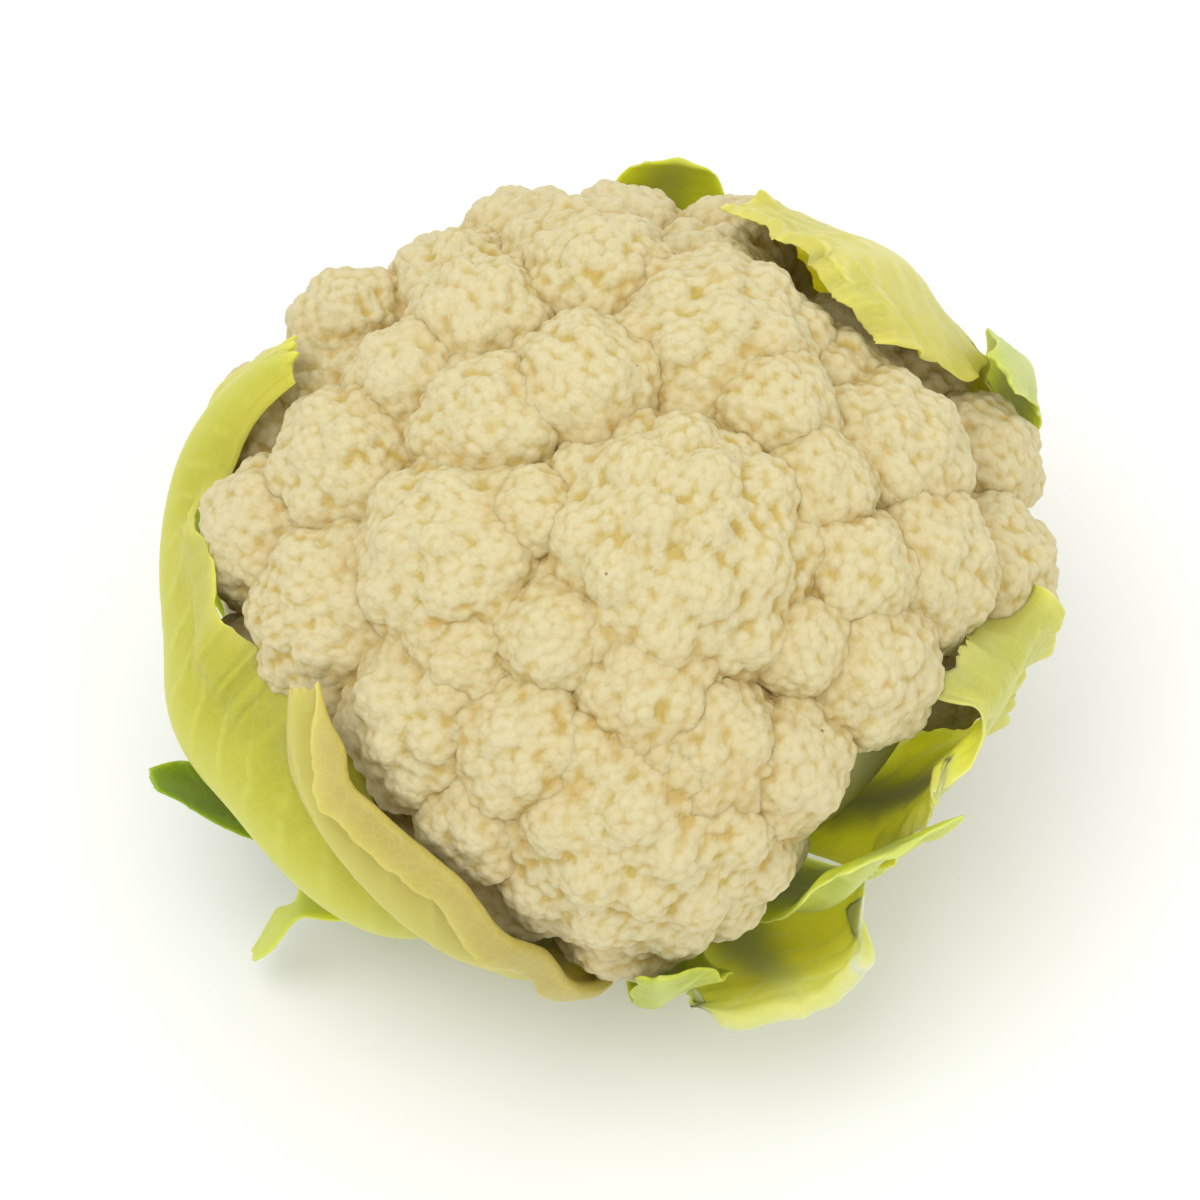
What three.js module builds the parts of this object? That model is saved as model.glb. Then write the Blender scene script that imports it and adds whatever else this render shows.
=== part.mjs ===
// A trimmed white cauliflower: one knobbly head of curd, a thick stalk cut flat below it, and the leaves that
// were left on it, which grow from the stalk and clasp the head.
// Lengths are in millimetres and angles in degrees. +Z is up and the front of the head faces -Y.
// The origin is the middle of the stalk's cut face, on which the head stands.

import * as THREE from "three";
import { ConvexHull } from "three/addons/math/ConvexHull.js";

// The head
const CURD_WIDTH = 180; // across the widest florets
const CURD_RISE = 78; // from the widest level up to the crown
const WIDEST_LEVEL = 62; // of the widest level above the cut
const VIEW_TILT = 55; // the front florets are measured from the front, this far above the horizon
const VIEW_DISTANCE = 900; // and this far from the middle of the head
const FLORET_BULGE = 1.16; // radius of a floret's ball for each unit of its half width
const FLORET_REACH = 84; // how far its knobs run down from its top, round the ball
const KNOB_SPACING = 12.5; // between a small floret's knobs
const SPACING_GROWTH = 0.2; // added to that for each unit of a floret's half width
const KNOB_SPREAD = 0.64; // below 1 the knobs are small at a floret's eye and grow outwards
const KNOB_FILL = 0.68; // a knob's radius for each unit of the distance to the next one
const KNOB_JITTER = 0.1; // share by which a knob's size and place differ from the rule
const SMALLEST_KNOB = 3.4;
const PACKING = 1.155; // a knob's share of the surface, as the square of the distance between knobs
const SHARE_SLACK = 1; // how far a knob may lie inside the next floret's ball
const KNOB_SLACK = 0.2; // how far a knob's middle may lie inside the next knob
const FEWEST_KNOBS = 4; // on a floret
const SEED_STEP = 7919; // between the seeds of one floret and the next
const EYE_TURN = 67; // between the spirals of one floret and the next
const RIM_DROP = 22; // how far below the widest level the lowest knobs sit
const CORE_SHARE = 0.78; // of the dome, filled solid behind the florets
const FLORET_CORE = 0.85; // of a floret's ball, filled solid behind its knobs
const CORE_LIFT = 3; // least room between the ball of a floret's core and the flat foot
const GOLDEN_TURN = 137.508; // from one knob to the next round a floret's eye
const FINEST_GAP = 0.018; // between measured directions, in radians

// The underside, where the branches gather into the stalk
const FOOT_LEVEL = 34; // of the flat where the curd meets the stalk
const FOOT_RADIUS = 25;
const UNDERSIDE_SLOPE = 0.13; // rise for each millimetre outwards
const BRANCH_COUNT = 11;
const BRANCH_RELIEF = 1.6;
const BRANCH_START = 31; // from the head's middle to where the branches begin to stand apart
const LONGEST_SIDE = 26; // of a triangle between knobs, which no triangle across the underside is within

// Rings on the plain underside at which it is measured, as [radius, count]
const UNDERSIDE_RINGS = [
  [0.1, 1],
  [12, 6],
  [FOOT_RADIUS, 14],
  [38, 22],
  [52, 22],
  [65, 33],
];

// The stalk
const STALK_RADIUS = 23;
const STALK_WAIST = 21.5;
const STALK_BEVEL = 1.6;
const STALK_SIDES = 28;

// The leaves
const BLADE = 0.8; // thickness of a leaf's blade
const MARGIN = 0.7; // thickness at a leaf's edge
const CLEARANCE = 1.8; // least room between a leaf and the curd
const NODE_GAP = 0.3; // between a leaf's foot and the stalk
const LEAF_STEPS = 14; // along a leaf
const HALF_STEPS = 3; // from a leaf's rib to its edge
const LOOK_ROUND = 0.05; // how far round a point the curd is looked for, in radians
const FACE_PULL = 0.35; // how strongly a leaf keeps facing the head as its rib turns
const ARC_PARTS = 8; // straight pieces that a half's arc is summed from
const RIB_FOOT = 2.5; // how far a rib spreads beyond its own height
const RIB_SLOPE = 1.5;
const TIP_TEETH = 12; // how far the teeth of a cut tip run along the leaf, for teeth of 1
const LEAF_OPENING = 3; // a leaf is fully open at one part in this many of its length

const rad = THREE.MathUtils.degToRad;
const middle = new THREE.Vector3(0, 0, WIDEST_LEVEL);
const dome = new THREE.Vector3(CURD_WIDTH / 2, CURD_WIDTH / 2, CURD_RISE);

// The florets on the front of the head, each given as [across, up, half width, proud]: where the middle of it
// shows from the front, to the right of and above the middle of the head, its size, and how far it stands out.
const FRONT_FLORETS = [
  [13, 10, 31, 6],
  [-44, 8, 23, 4],
  [-18, -11, 12, 1],
  [6, -25, 15, 2],
  [4, -62, 34, 7],
  [-25, -39, 17, 3],
  [-36, -56, 15, 2],
  [19, -40, 17, 3],
  [38, -44, 15, 2],
  [-50, -33, 22, 2],
  [-74, -6, 21, 4],
  [-69, 31, 20, 4],
  [-34, 41, 17, 2],
  [-11, 51, 17, 2],
  [-36, 64, 17, 4],
  [-7, 75, 17, 4],
  [23, 63, 26, 4],
  [36, 44, 13, 2],
  [46, 25, 13, 1],
  [66, 34, 19, 3],
  [55, 4, 14, 2],
  [74, 6, 18, 3],
  [60, -19, 17, 2],
  [42, -13, 11, 0],
  [-63, 59, 14, 8],
  [-52, 50, 14, 3],
  [-76, -46, 14, 1],
  [-62, -61, 12, 0],
  [88, 3, 17, 5],
  [25, 84, 14, 2],
  [-22, 18, 10, 0],
  [-39, -15, 12, 0],
  [52, 54, 15, -3],
  [-84, 12, 16, 8],
  [-80, 39, 15, 8],
  [-86, -24, 16, 6],
  [-26, 84, 15, 4],
  [84, 30, 15, 5],
  [74, 50, 15, -2],
];

// The florets that the front hides and those round the rim, each given as [azimuth, lift, half width, proud].
const HIDDEN_FLORETS = [
  [12, 24, 17, -4],
  [38, 34, 18, -6],
  [66, 22, 19, -5],
  [92, 34, 18, 2],
  [96, 8, 18, 0],
  [121, 20, 19, 2],
  [147, 10, 18, 1],
  [40, 8, 17, -6],
  [12, -4, 16, -2],
  [68, -4, 16, -2],
  [122, -6, 16, -3],
  [150, -10, 14, 0],
  [176, -8, 16, 0],
  [203, -10, 15, -3],
  [232, -8, 13, -6],
  [270, -11, 15, 1],
  [251, -9, 12, -3],
  [349, -7, 16, -5],
  [70, 48, 18, -3],
  [102, 52, 19, 2],
  [130, 42, 19, 2],
  [156, 34, 17, 2],
  [172, 12, 16, 2],
];

// A leaf's middle surface lies on a bowl round the curd, which these levels and radii give, in equal steps of
// rise from 0 at the stalk to 10 near the crown.
const BOWL_RADII = [24.5, 42, 60, 76, 88, 93, 91.5, 82, 66, 45, 22];
const BOWL_LEVELS = [22, 24, 30, 40, 53, 68, 85, 103, 121, 134, 141];
const BOWL_RISE = BOWL_RADII.length - 1;

// Each leaf's rib runs through points given as [azimuth, rise, distance off the bowl]. Its half widths to the
// left and the right of the rib, seen from outside with the tip up, and the rib's height are given at even
// steps from base to tip. cup turns each half in to the head by the edge, in degrees. ruffle is the height of the
// waves of its edge, teeth their share of its half width, and green says how far its colour is from pale.
const LEAVES = [
  {
    name: "leaf_left",
    rib: [[237, 0, 7], [237, 1.5, 7], [236, 3, 5], [230, 4.2, 3], [218, 4.7, 2.5], [206, 4.7, 2.5], [196, 4.9, 2],
      [183, 5.2, 2], [172, 5.8, 1.5], [167, 6.8, 1.5], [163, 7.9, 1]],
    left: [7, 10, 12, 15, 15, 11, 4],
    right: [7, 9, 12, 18, 19, 12, 4],
    height: [5.5, 5.5, 5, 4.5, 4, 3, 1.5],
    cup: [22, 62],
    ruffle: 1.2,
    teeth: 0.16,
    green: 0.45,
  },
  {
    name: "leaf_front_left",
    rib: [[259, 0, 2], [259, 1.6, 1], [257, 3, 0], [252, 4.1, 1], [245, 4.9, 1.5], [238, 5.4, 1.5], [230, 5.9, 1.5],
      [223, 6.4, 0.5], [218, 6.9, 0]],
    left: [7, 9, 9, 8, 8, 7, 3],
    right: [7, 10, 12, 15, 14, 10, 3],
    height: [5, 4.5, 4, 3.2, 2.4, 1.4, 0.4],
    cup: [26, 34],
    ruffle: 1.2,
    teeth: 0.16,
    green: 0.12,
  },
  {
    name: "leaf_right",
    rib: [[320, 0, 2], [322, 1.5, -1], [325, 3, -6], [328, 4.2, -10], [330, 5, -10], [332, 5.7, -7], [333, 6.3, -3]],
    left: [8, 13, 18, 21, 22, 22, 16],
    right: [8, 14, 19, 23, 24, 23, 19],
    height: [5, 4.5, 4, 3, 2.2, 1.4, 0.8],
    cup: [8, 6],
    ruffle: 2,
    teeth: 0.12,
    green: 0.25,
  },
  {
    name: "leaf_front_right",
    rib: [[297, 0, 7], [298, 1.5, 4], [301, 3, -2], [304, 4.1, -7], [306, 4.9, -7], [307, 5.5, -3]],
    left: [7, 12, 15, 16, 16, 12],
    right: [7, 11, 14, 18, 20, 15],
    height: [5, 4.5, 4, 3, 2.2, 1.4],
    cup: [8, 4],
    ruffle: 1.6,
    teeth: 0.12,
    green: 0.6,
  },
  {
    name: "leaf_front",
    rib: [[291, 0, 13], [291, 1.3, 13], [291, 2.3, 12], [291, 3, 10.5], [291, 3.5, 10], [291, 3.8, 12.5]],
    left: [6, 9, 13, 17, 21, 19],
    right: [6, 9, 13, 16, 17, 11],
    height: [4, 4, 3, 2, 1.2, 0.6, 0.4],
    cup: [10, 10],
    ruffle: 0.6,
    teeth: 0.1,
    green: 0.1,
  },
  {
    name: "leaf_back_right",
    rib: [[48, 0, 2], [48, 2, 0], [48, 4, -2], [47, 5.8, -4], [45, 7.2, -3], [42, 8.7, 0]],
    left: [8, 17, 26, 33, 35, 34, 28],
    right: [8, 17, 26, 32, 34, 32, 26],
    height: [5, 5, 4, 3, 2, 1],
    cup: [26, 26],
    ruffle: 2,
    teeth: 0.16,
    green: 0.18,
  },
  {
    name: "leaf_right_back",
    rib: [[24, 0, 7], [26, 2, 6], [28, 4, 4], [27, 5.4, 2], [22, 6.5, 2], [14, 7.3, 2.5]],
    left: [7, 10, 12, 12, 9, 5],
    right: [7, 12, 14, 14, 9, 5],
    height: [5, 5, 4, 3, 2, 1],
    cup: [16, 16],
    ruffle: 1.6,
    teeth: 0.14,
    green: 0.7,
  },
  {
    name: "leaf_back",
    rib: [[88, 0, 7], [88, 2, 7], [87, 4, 6], [85, 5.6, 4], [82, 6.8, 2]],
    left: [7, 15, 20, 20, 14, 8],
    right: [7, 15, 20, 18, 12, 8],
    height: [5, 5, 4, 3, 2, 1],
    cup: [16, 16],
    ruffle: 1.6,
    teeth: 0.14,
    green: 0.65,
  },
  {
    name: "leaf_back_left",
    rib: [[130, 0, 2], [130, 1.6, 2], [131, 3.2, 2], [132, 4.4, 3], [132, 5.1, 4]],
    left: [8, 16, 25, 30, 26, 16],
    right: [8, 16, 25, 30, 26, 16],
    height: [5, 5, 4, 3, 2, 1],
    cup: [20, 20],
    ruffle: 1.8,
    teeth: 0.16,
    green: 0.4,
  },
  {
    name: "leaf_left_back",
    rib: [[170, 0, 7], [169, 2, 8], [168, 3.4, 8], [167, 4.4, 9]],
    left: [7, 13, 17, 13, 4],
    right: [7, 13, 17, 13, 4],
    height: [5, 5, 4, 2.4, 0.5],
    cup: [14, 14],
    ruffle: 1.2,
    teeth: 0.12,
    green: 0.85,
    steps: 10,
  },
  {
    name: "leaf_left_low",
    rib: [[205, 0, 10], [205, 1.5, 11], [205, 3, 12], [204, 3.8, 15], [203, 4.4, 19]],
    left: [6, 10, 13, 10, 3],
    right: [6, 10, 13, 10, 3],
    height: [4, 4, 3, 1.6, 0.4],
    cup: [12, 12],
    ruffle: 1,
    teeth: 0.06,
    green: 1,
    steps: 10,
  },
  {
    name: "leaf_front_low",
    rib: [[271, 0, 8], [273, 1.5, 8], [275, 3, 6], [275, 4, 5], [274, 4.7, 4]],
    left: [4, 6, 7, 7, 5],
    right: [4, 7, 12, 14, 7],
    height: [4, 4, 2.6, 1.6, 0.8],
    cup: [14, 14],
    ruffle: 1,
    teeth: 0.14,
    green: 0.7,
    steps: 10,
  },
  {
    name: "leaf_torn",
    rib: [[220, 0, 13], [220, 1.2, 13], [220, 2.2, 14], [220, 2.9, 18], [219, 3.1, 26], [217, 3, 40]],
    left: [3, 3, 3, 2.5, 8, 2.5, 6, 1.5],
    right: [3, 3, 3, 2.5, 9, 2.5, 5, 1.5],
    height: [2.5, 2.5, 2, 1.6, 1, 0.6, 0.4],
    cup: [6, 6],
    ruffle: 0.5,
    teeth: 0.1,
    green: 0.5,
    steps: 16,
    halves: 2,
  },
];

// Repeatable noise from 0 to 1
function makeRandom(seed) {
  let state = seed;
  return () => {
    state = (state * 16807) % 2147483647;
    return state / 2147483647;
  };
}

// A smooth value at share t of the way through a list, by uniform Catmull-Rom
function valueAt(list, t) {
  const last = list.length - 1;
  const place = THREE.MathUtils.clamp(t, 0, 1) * last;
  const i = Math.min(Math.floor(place), last - 1);
  const s = place - i;
  const [b, c] = [list[i], list[i + 1]];
  const a = i > 0 ? list[i - 1] : 2 * b - c;
  const d = i + 2 <= last ? list[i + 2] : 2 * c - b;
  return b + 0.5 * s * (c - a + s * (2 * a - 5 * b + 4 * c - d + s * (3 * (b - c) + d - a)));
}

// The outward normal of the dome at a point measured from its middle
function domeNormal(point) {
  return point.clone().divide(dome).divide(dome).normalize();
}

// The point of the dome that shows at across and up from the front
function frontPoint(across, up) {
  const tilt = rad(VIEW_TILT);
  const eye = new THREE.Vector3(0, -Math.cos(tilt), Math.sin(tilt)).multiplyScalar(VIEW_DISTANCE).divide(dome);
  const shown = new THREE.Vector3(across, Math.sin(tilt) * up, Math.cos(tilt) * up).divide(dome);
  const ray = shown.sub(eye);
  const a = ray.lengthSq();
  const b = eye.dot(ray);
  const inside = Math.max(b * b - a * (eye.lengthSq() - 1), 0);
  return eye.addScaledVector(ray, (-b - Math.sqrt(inside)) / a).normalize().multiply(dome);
}

// The point of the dome at an azimuth and a lift above the widest level
function roundPoint(azimuth, lift) {
  return new THREE.Vector3(
    Math.cos(rad(azimuth)) * Math.cos(rad(lift)),
    Math.sin(rad(azimuth)) * Math.cos(rad(lift)),
    Math.sin(rad(lift)),
  ).multiply(dome);
}

// A floret as a ball sunk into the dome, with its top at the dome's surface
function makeFloret(top, halfWidth, proud, index) {
  const axis = domeNormal(top);
  const ball = halfWidth * FLORET_BULGE;
  return { axis, ball, halfWidth, index, centre: top.clone().addScaledVector(axis, proud - ball) };
}

function makeFlorets() {
  const tops = [
    ...FRONT_FLORETS.map(([across, up, half, proud]) => [frontPoint(across, up), half, proud]),
    ...HIDDEN_FLORETS.map(([azimuth, lift, half, proud]) => [roundPoint(azimuth, lift), half, proud]),
  ];
  return tops.map(([top, half, proud], index) => makeFloret(top, half, proud, index));
}

// A floret's knobs: balls on a golden-angle spiral round its eye, small in the middle and larger outwards
function knobsOf(floret) {
  const { axis, ball, halfWidth, index } = floret;
  const random = makeRandom((index + 1) * SEED_STEP);
  const side = new THREE.Vector3(0, 0, 1).cross(axis);
  if (side.lengthSq() < 1e-6) side.set(1, 0, 0);
  side.normalize();
  const across = axis.clone().cross(side);
  const spacing = KNOB_SPACING + SPACING_GROWTH * halfWidth;
  const reach = rad(FLORET_REACH);
  const capArea = 2 * Math.PI * ball * ball * (1 - Math.cos(reach));
  const count = Math.max(FEWEST_KNOBS, Math.round((capArea * PACKING) / (spacing * spacing)));
  const knobs = [];
  for (let i = 0; i < count; i++) {
    const share = ((i + 0.5) / count) ** KNOB_SPREAD;
    const room = (capArea * KNOB_SPREAD * share * share) / (i + 0.5);
    const vary = () => 1 + KNOB_JITTER * (2 * random() - 1);
    const radius = Math.max(SMALLEST_KNOB, KNOB_FILL * Math.sqrt(PACKING * room) * vary());
    const polar = reach * share * vary();
    const turn = rad(index * EYE_TURN + i * GOLDEN_TURN);
    const out = axis
      .clone()
      .multiplyScalar(Math.cos(polar))
      .addScaledVector(side, Math.sin(polar) * Math.cos(turn))
      .addScaledVector(across, Math.sin(polar) * Math.sin(turn));
    knobs.push({ floret, radius, centre: floret.centre.clone().addScaledVector(out, ball - radius) });
  }
  return knobs;
}

// How far from the head's middle a ray leaves a ball, or 0 where it misses
function leavesBall(direction, { centre, radius }) {
  const along = centre.dot(direction);
  const inside = radius * radius - centre.lengthSq() + along * along;
  return inside > 0 ? along + Math.sqrt(inside) : 0;
}

// The body behind the florets: a smaller dome, cut below by the flat foot and the sloping, ribbed underside
function bodyAlong(direction) {
  const inDome = CORE_SHARE / direction.clone().divide(dome).length();
  const drop = WIDEST_LEVEL - FOOT_LEVEL;
  const outwards = Math.hypot(direction.x, direction.y);
  const ribs = BRANCH_RELIEF * Math.cos(BRANCH_COUNT * Math.atan2(direction.y, direction.x));
  const toFoot = direction.z < 0 ? drop / -direction.z : Infinity;
  const fall = UNDERSIDE_SLOPE * outwards - direction.z;
  const toSlope = fall > 0 ? (drop + UNDERSIDE_SLOPE * FOOT_RADIUS) / fall : Infinity;
  const ribbed = outwards * toSlope > BRANCH_START ? toSlope + ribs : toSlope;
  return Math.min(inDome, toFoot, ribbed);
}

// The knobs that show: each stands in its own floret's share of the dome, above the rim, and reaches out
// past the others at its own middle
function visibleKnobs(florets) {
  const all = florets.flatMap(knobsOf).filter((knob) => {
    knob.direction = knob.centre.clone().normalize();
    const own = leavesBall(knob.direction, { centre: knob.floret.centre, radius: knob.floret.ball });
    const shares = ({ centre, ball }) => leavesBall(knob.direction, { centre, radius: ball }) <= own + SHARE_SLACK;
    return knob.centre.z > -RIM_DROP && florets.every(shares);
  });
  return all.filter((knob) => {
    const own = leavesBall(knob.direction, knob);
    return all.every((other) => other === knob || leavesBall(knob.direction, other) < own + KNOB_SLACK);
  });
}

function surfaceAlong(direction, balls) {
  return balls.reduce((far, ball) => Math.max(far, leavesBall(direction, ball)), bodyAlong(direction));
}

// The triangles of the smallest convex body round points on a sphere, as triples of their indices
function hullTriangles(directions) {
  const points = directions.map((direction, index) => Object.assign(direction.clone(), { index }));
  return new ConvexHull().setFromPoints(points).faces.map(({ edge }) => {
    return [edge.head(), edge.next.head(), edge.prev.head()].map((vertex) => vertex.point.index);
  });
}

// Where two neighbouring knobs meet, on the arc between their middles
function creaseBetween(knob, other) {
  let low = 0;
  let high = 1;
  const at = (share) => knob.direction.clone().lerp(other.direction, share).normalize();
  for (let step = 0; step < 14; step++) {
    const half = (low + high) / 2;
    const direction = at(half);
    if (leavesBall(direction, knob) > leavesBall(direction, other)) low = half;
    else high = half;
  }
  return at(low);
}

// The directions from the head's middle at which the curd's surface is measured: every knob's top, halfway
// down its sides, the crease to each neighbour, the corners where three knobs meet, and the plain underside
function curdDirections(knobs) {
  const tops = knobs.map((knob) => knob.direction);
  const found = [...tops];
  const creases = new Map();
  const widest = Math.cos(rad(LONGEST_SIDE));
  for (const [a, b, c] of hullTriangles(tops)) {
    const sides = [
      [a, b],
      [b, c],
      [c, a],
    ];
    if (sides.some(([i, j]) => tops[i].dot(tops[j]) < widest)) continue;
    const corner = new THREE.Vector3();
    for (const [i, j] of sides) {
      const key = Math.min(i, j) + " " + Math.max(i, j);
      if (!creases.has(key)) {
        const crease = creaseBetween(knobs[i], knobs[j]);
        creases.set(key, crease);
        found.push(crease);
        found.push(crease.clone().add(tops[i]).normalize(), crease.clone().add(tops[j]).normalize());
      }
      corner.add(creases.get(key));
    }
    found.push(corner.normalize());
  }
  for (const [radius, count] of UNDERSIDE_RINGS) {
    const level = radius > FOOT_RADIUS ? FOOT_LEVEL + UNDERSIDE_SLOPE * (radius - FOOT_RADIUS) : FOOT_LEVEL;
    for (let i = 0; i < count; i++) {
      const turn = rad((360 * i) / count);
      const point = new THREE.Vector3(radius * Math.cos(turn), radius * Math.sin(turn), level - WIDEST_LEVEL);
      found.push(point.normalize());
    }
  }
  return thinned(found, FINEST_GAP);
}

// The directions with any that lie closer than a gap to an earlier one left out
function thinned(directions, gap) {
  const kept = [];
  for (const direction of directions) {
    if (kept.every((other) => other.distanceTo(direction) > gap)) kept.push(direction);
  }
  return kept;
}

function makeGeometry(points, triangles) {
  const geometry = new THREE.BufferGeometry();
  geometry.setAttribute("position", new THREE.Float32BufferAttribute(points.flatMap((p) => p.toArray()), 3));
  geometry.setIndex(triangles.flat());
  geometry.computeVertexNormals();
  return geometry;
}

const florets = makeFlorets();
const knobs = visibleKnobs(florets);
const cores = florets.map(({ centre, ball }) => ({ centre, radius: ball * FLORET_CORE }));
const high = cores.filter(({ centre, radius }) => centre.z - radius > FOOT_LEVEL + CORE_LIFT - WIDEST_LEVEL);
const balls = [...knobs, ...high];

function makeCurd() {
  const directions = curdDirections(knobs);
  const points = directions.map((d) => d.clone().multiplyScalar(surfaceAlong(d, balls)).add(middle));
  return makeGeometry(points, hullTriangles(directions));
}

// The stalk's radius at a level above the cut
function stalkRadius(level) {
  return STALK_WAIST + (STALK_RADIUS - STALK_WAIST) * ((2 * level) / FOOT_LEVEL - 1) ** 2;
}

// The stalk: a stout plug, cut flat below, with a slight waist and a bevelled edge round the cut
function makeStalk() {
  const top = FOOT_LEVEL - NODE_GAP;
  const side = [1, 0.75, 0.5, 0.25, STALK_BEVEL / top].map((share) => [stalkRadius(top * share), top * share]);
  const profile = [[0, 0], [STALK_RADIUS - STALK_BEVEL, 0], ...side.reverse(), [0, top]];
  const points = profile.map(([radius, level]) => new THREE.Vector2(radius, level));
  return new THREE.LatheGeometry(points, STALK_SIDES).rotateX(Math.PI / 2);
}

// The point of the bowl at an azimuth and a rise, moved off it along its outward normal
function bowlPoint(azimuth, rise, off) {
  const profileAt = (at) => new THREE.Vector2(
    valueAt(BOWL_RADII, at / BOWL_RISE),
    valueAt(BOWL_LEVELS, at / BOWL_RISE),
  );
  const at = THREE.MathUtils.clamp(rise, 0, BOWL_RISE);
  const { x: radius, y: level } = profileAt(at);
  const tangent = profileAt(at + 0.01).sub(profileAt(at - 0.01)).normalize();
  const outwards = radius + tangent.y * off;
  return new THREE.Vector3(
    outwards * Math.cos(rad(azimuth)),
    outwards * Math.sin(rad(azimuth)),
    level - tangent.x * off,
  );
}

// A point moved straight out from the head's middle until it clears the curd round about it
function clearOfCurd(point) {
  const reach = point.clone().sub(middle);
  const far = reach.length();
  const direction = reach.divideScalar(far);
  const side = new THREE.Vector3(-direction.y, direction.x, 0).normalize();
  const rise = direction.clone().cross(side);
  let room = 0;
  for (const [a, b] of [
    [0, 0],
    [1, 0],
    [-1, 0],
    [0, 1],
    [0, -1],
  ]) {
    const near = direction.clone().addScaledVector(side, a * LOOK_ROUND).addScaledVector(rise, b * LOOK_ROUND);
    room = Math.max(room, surfaceAlong(near.normalize(), balls));
  }
  return direction.multiplyScalar(Math.max(far, room + CLEARANCE + BLADE / 2)).add(middle);
}

// The waves of a leaf's edge at share u of its length, from -1 to 1: long waves with short ones over them
function edgeWave(u, phase) {
  return 0.6 * Math.sin(19 * u + phase) + 0.4 * Math.sin(37 * u + 2 * phase);
}

// A leaf: a blade swept along its rib, cupped round the head, with a raised rib on its outer face
function makeLeaf(leaf) {
  const places = leaf.rib.map((place) => bowlPoint(...place));
  const [xs, ys, zs] = [0, 1, 2].map((axis) => places.map((place) => place.getComponent(axis)));
  const pathAt = (u) => new THREE.Vector3(valueAt(xs, u), valueAt(ys, u), valueAt(zs, u));
  const phase = leaf.rib[0][0];
  const steps = leaf.steps ?? LEAF_STEPS;
  const halves = leaf.halves ?? HALF_STEPS;
  const outer = [];
  const inner = [];
  let normal = null;
  for (let row = 0; row <= steps; row++) {
    const u = row / steps;
    const point = pathAt(u);
    const tangent = pathAt(Math.min(1, u + 0.01)).sub(pathAt(Math.max(0, u - 0.01))).normalize();
    const facing = point.clone().sub(middle);
    facing.addScaledVector(tangent, -facing.dot(tangent)).normalize();
    normal = normal ?? facing.clone();
    normal.addScaledVector(tangent, -normal.dot(tangent)).normalize();
    if (facing.dot(normal) > 0) normal.lerp(facing, FACE_PULL).normalize();
    const side = tangent.clone().cross(normal).normalize();
    const height = valueAt(leaf.height, u);
    const opened = Math.min(1, u * LEAF_OPENING);
    for (let column = -halves; column <= halves; column++) {
      const half = column > 0 ? 1 : 0;
      const sign = Math.sign(column);
      const v = Math.abs(column) / halves;
      const ragged = 1 + leaf.teeth * v * v * edgeWave(u, phase + 2 * half);
      const width = valueAt(half ? leaf.right : leaf.left, u) * ragged;
      const turnAt = (at) => rad(-leaf.cup[half] * at * opened);
      let across = 0;
      let out = 0;
      for (let part = 0; part < ARC_PARTS; part++) {
        const turn = turnAt(((part + 0.5) / ARC_PARTS) * v);
        across += (width * v * Math.cos(turn)) / ARC_PARTS;
        out += (width * v * Math.sin(turn)) / ARC_PARTS;
      }
      const wave = leaf.ruffle * opened * v * v * edgeWave(u, phase + 3 + half);
      const spot = point.clone().addScaledVector(side, sign * across).addScaledVector(normal, out + wave);
      if (row === steps) spot.addScaledVector(tangent, TIP_TEETH * leaf.teeth * edgeWave(column / 7, phase));
      const clear = clearOfCurd(spot);
      const face = normal.clone().multiplyScalar(Math.cos(turnAt(v)));
      face.addScaledVector(side, -sign * Math.sin(turnAt(v)));
      const thick = v === 1 ? MARGIN : BLADE;
      const ribbed = height * Math.exp(-RIB_SLOPE * (across / (RIB_FOOT + height)) ** 2);
      const faces = [clear.clone().addScaledVector(face, thick / 2 + ribbed), clear.addScaledVector(face, -thick / 2)];
      if (row === 0) faces.forEach(meetStalk);
      outer.push(faces[0]);
      inner.push(faces[1]);
    }
  }
  return blade(outer, inner, steps, halves * 2);
}

// A point of a leaf's foot moved level to just clear of the stalk
function meetStalk(point) {
  const radius = stalkRadius(point.z) + NODE_GAP;
  const share = radius / Math.hypot(point.x, point.y);
  point.x *= share;
  point.y *= share;
}

// A closed solid between two grids of points, with the same diagonals on both faces
function blade(outer, inner, rows, columns) {
  const width = columns + 1;
  const back = outer.length;
  const triangles = [];
  const quad = (a, b, c, d) => triangles.push([a, b, c], [a, c, d]);
  for (let row = 0; row < rows; row++) {
    for (let column = 0; column < columns; column++) {
      const a = row * width + column;
      quad(a, a + 1, a + 1 + width, a + width);
      triangles.push([back + a, back + a + 1 + width, back + a + 1]);
      triangles.push([back + a, back + a + width, back + a + 1 + width]);
    }
    const start = row * width;
    const end = start + columns;
    quad(start, start + width, back + start + width, back + start);
    quad(end + width, end, back + end, back + end + width);
  }
  for (let column = 0; column < columns; column++) {
    const tip = rows * width + column;
    quad(column + 1, column, back + column, back + column + 1);
    quad(tip, tip + 1, back + tip + 1, back + tip);
  }
  return makeGeometry([...outer, ...inner], triangles);
}

const curdFlesh = new THREE.MeshStandardMaterial({ color: 0xe9daa8, roughness: 0.6, metalness: 0 });
const stalkFlesh = new THREE.MeshStandardMaterial({ color: 0xdfe2b4, roughness: 0.55, metalness: 0 });

// Leaf colour runs from the pale inner leaves, at 0, to the dark tips of the outer ones, at 1
function leafMaterial(green) {
  const color = new THREE.Color(0xd8dc96).lerp(new THREE.Color(0x6b8a1e), green);
  return new THREE.MeshStandardMaterial({ color, roughness: 0.5, metalness: 0 });
}

function addPiece(group, name, geometry, material) {
  const piece = new THREE.Mesh(geometry, material);
  piece.name = name;
  group.add(piece);
}

const cauliflower = new THREE.Group();
addPiece(cauliflower, "curd", makeCurd(), curdFlesh);
addPiece(cauliflower, "stalk", makeStalk(), stalkFlesh);
for (const leaf of LEAVES) addPiece(cauliflower, leaf.name, makeLeaf(leaf), leafMaterial(leaf.green));

export default cauliflower;
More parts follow.
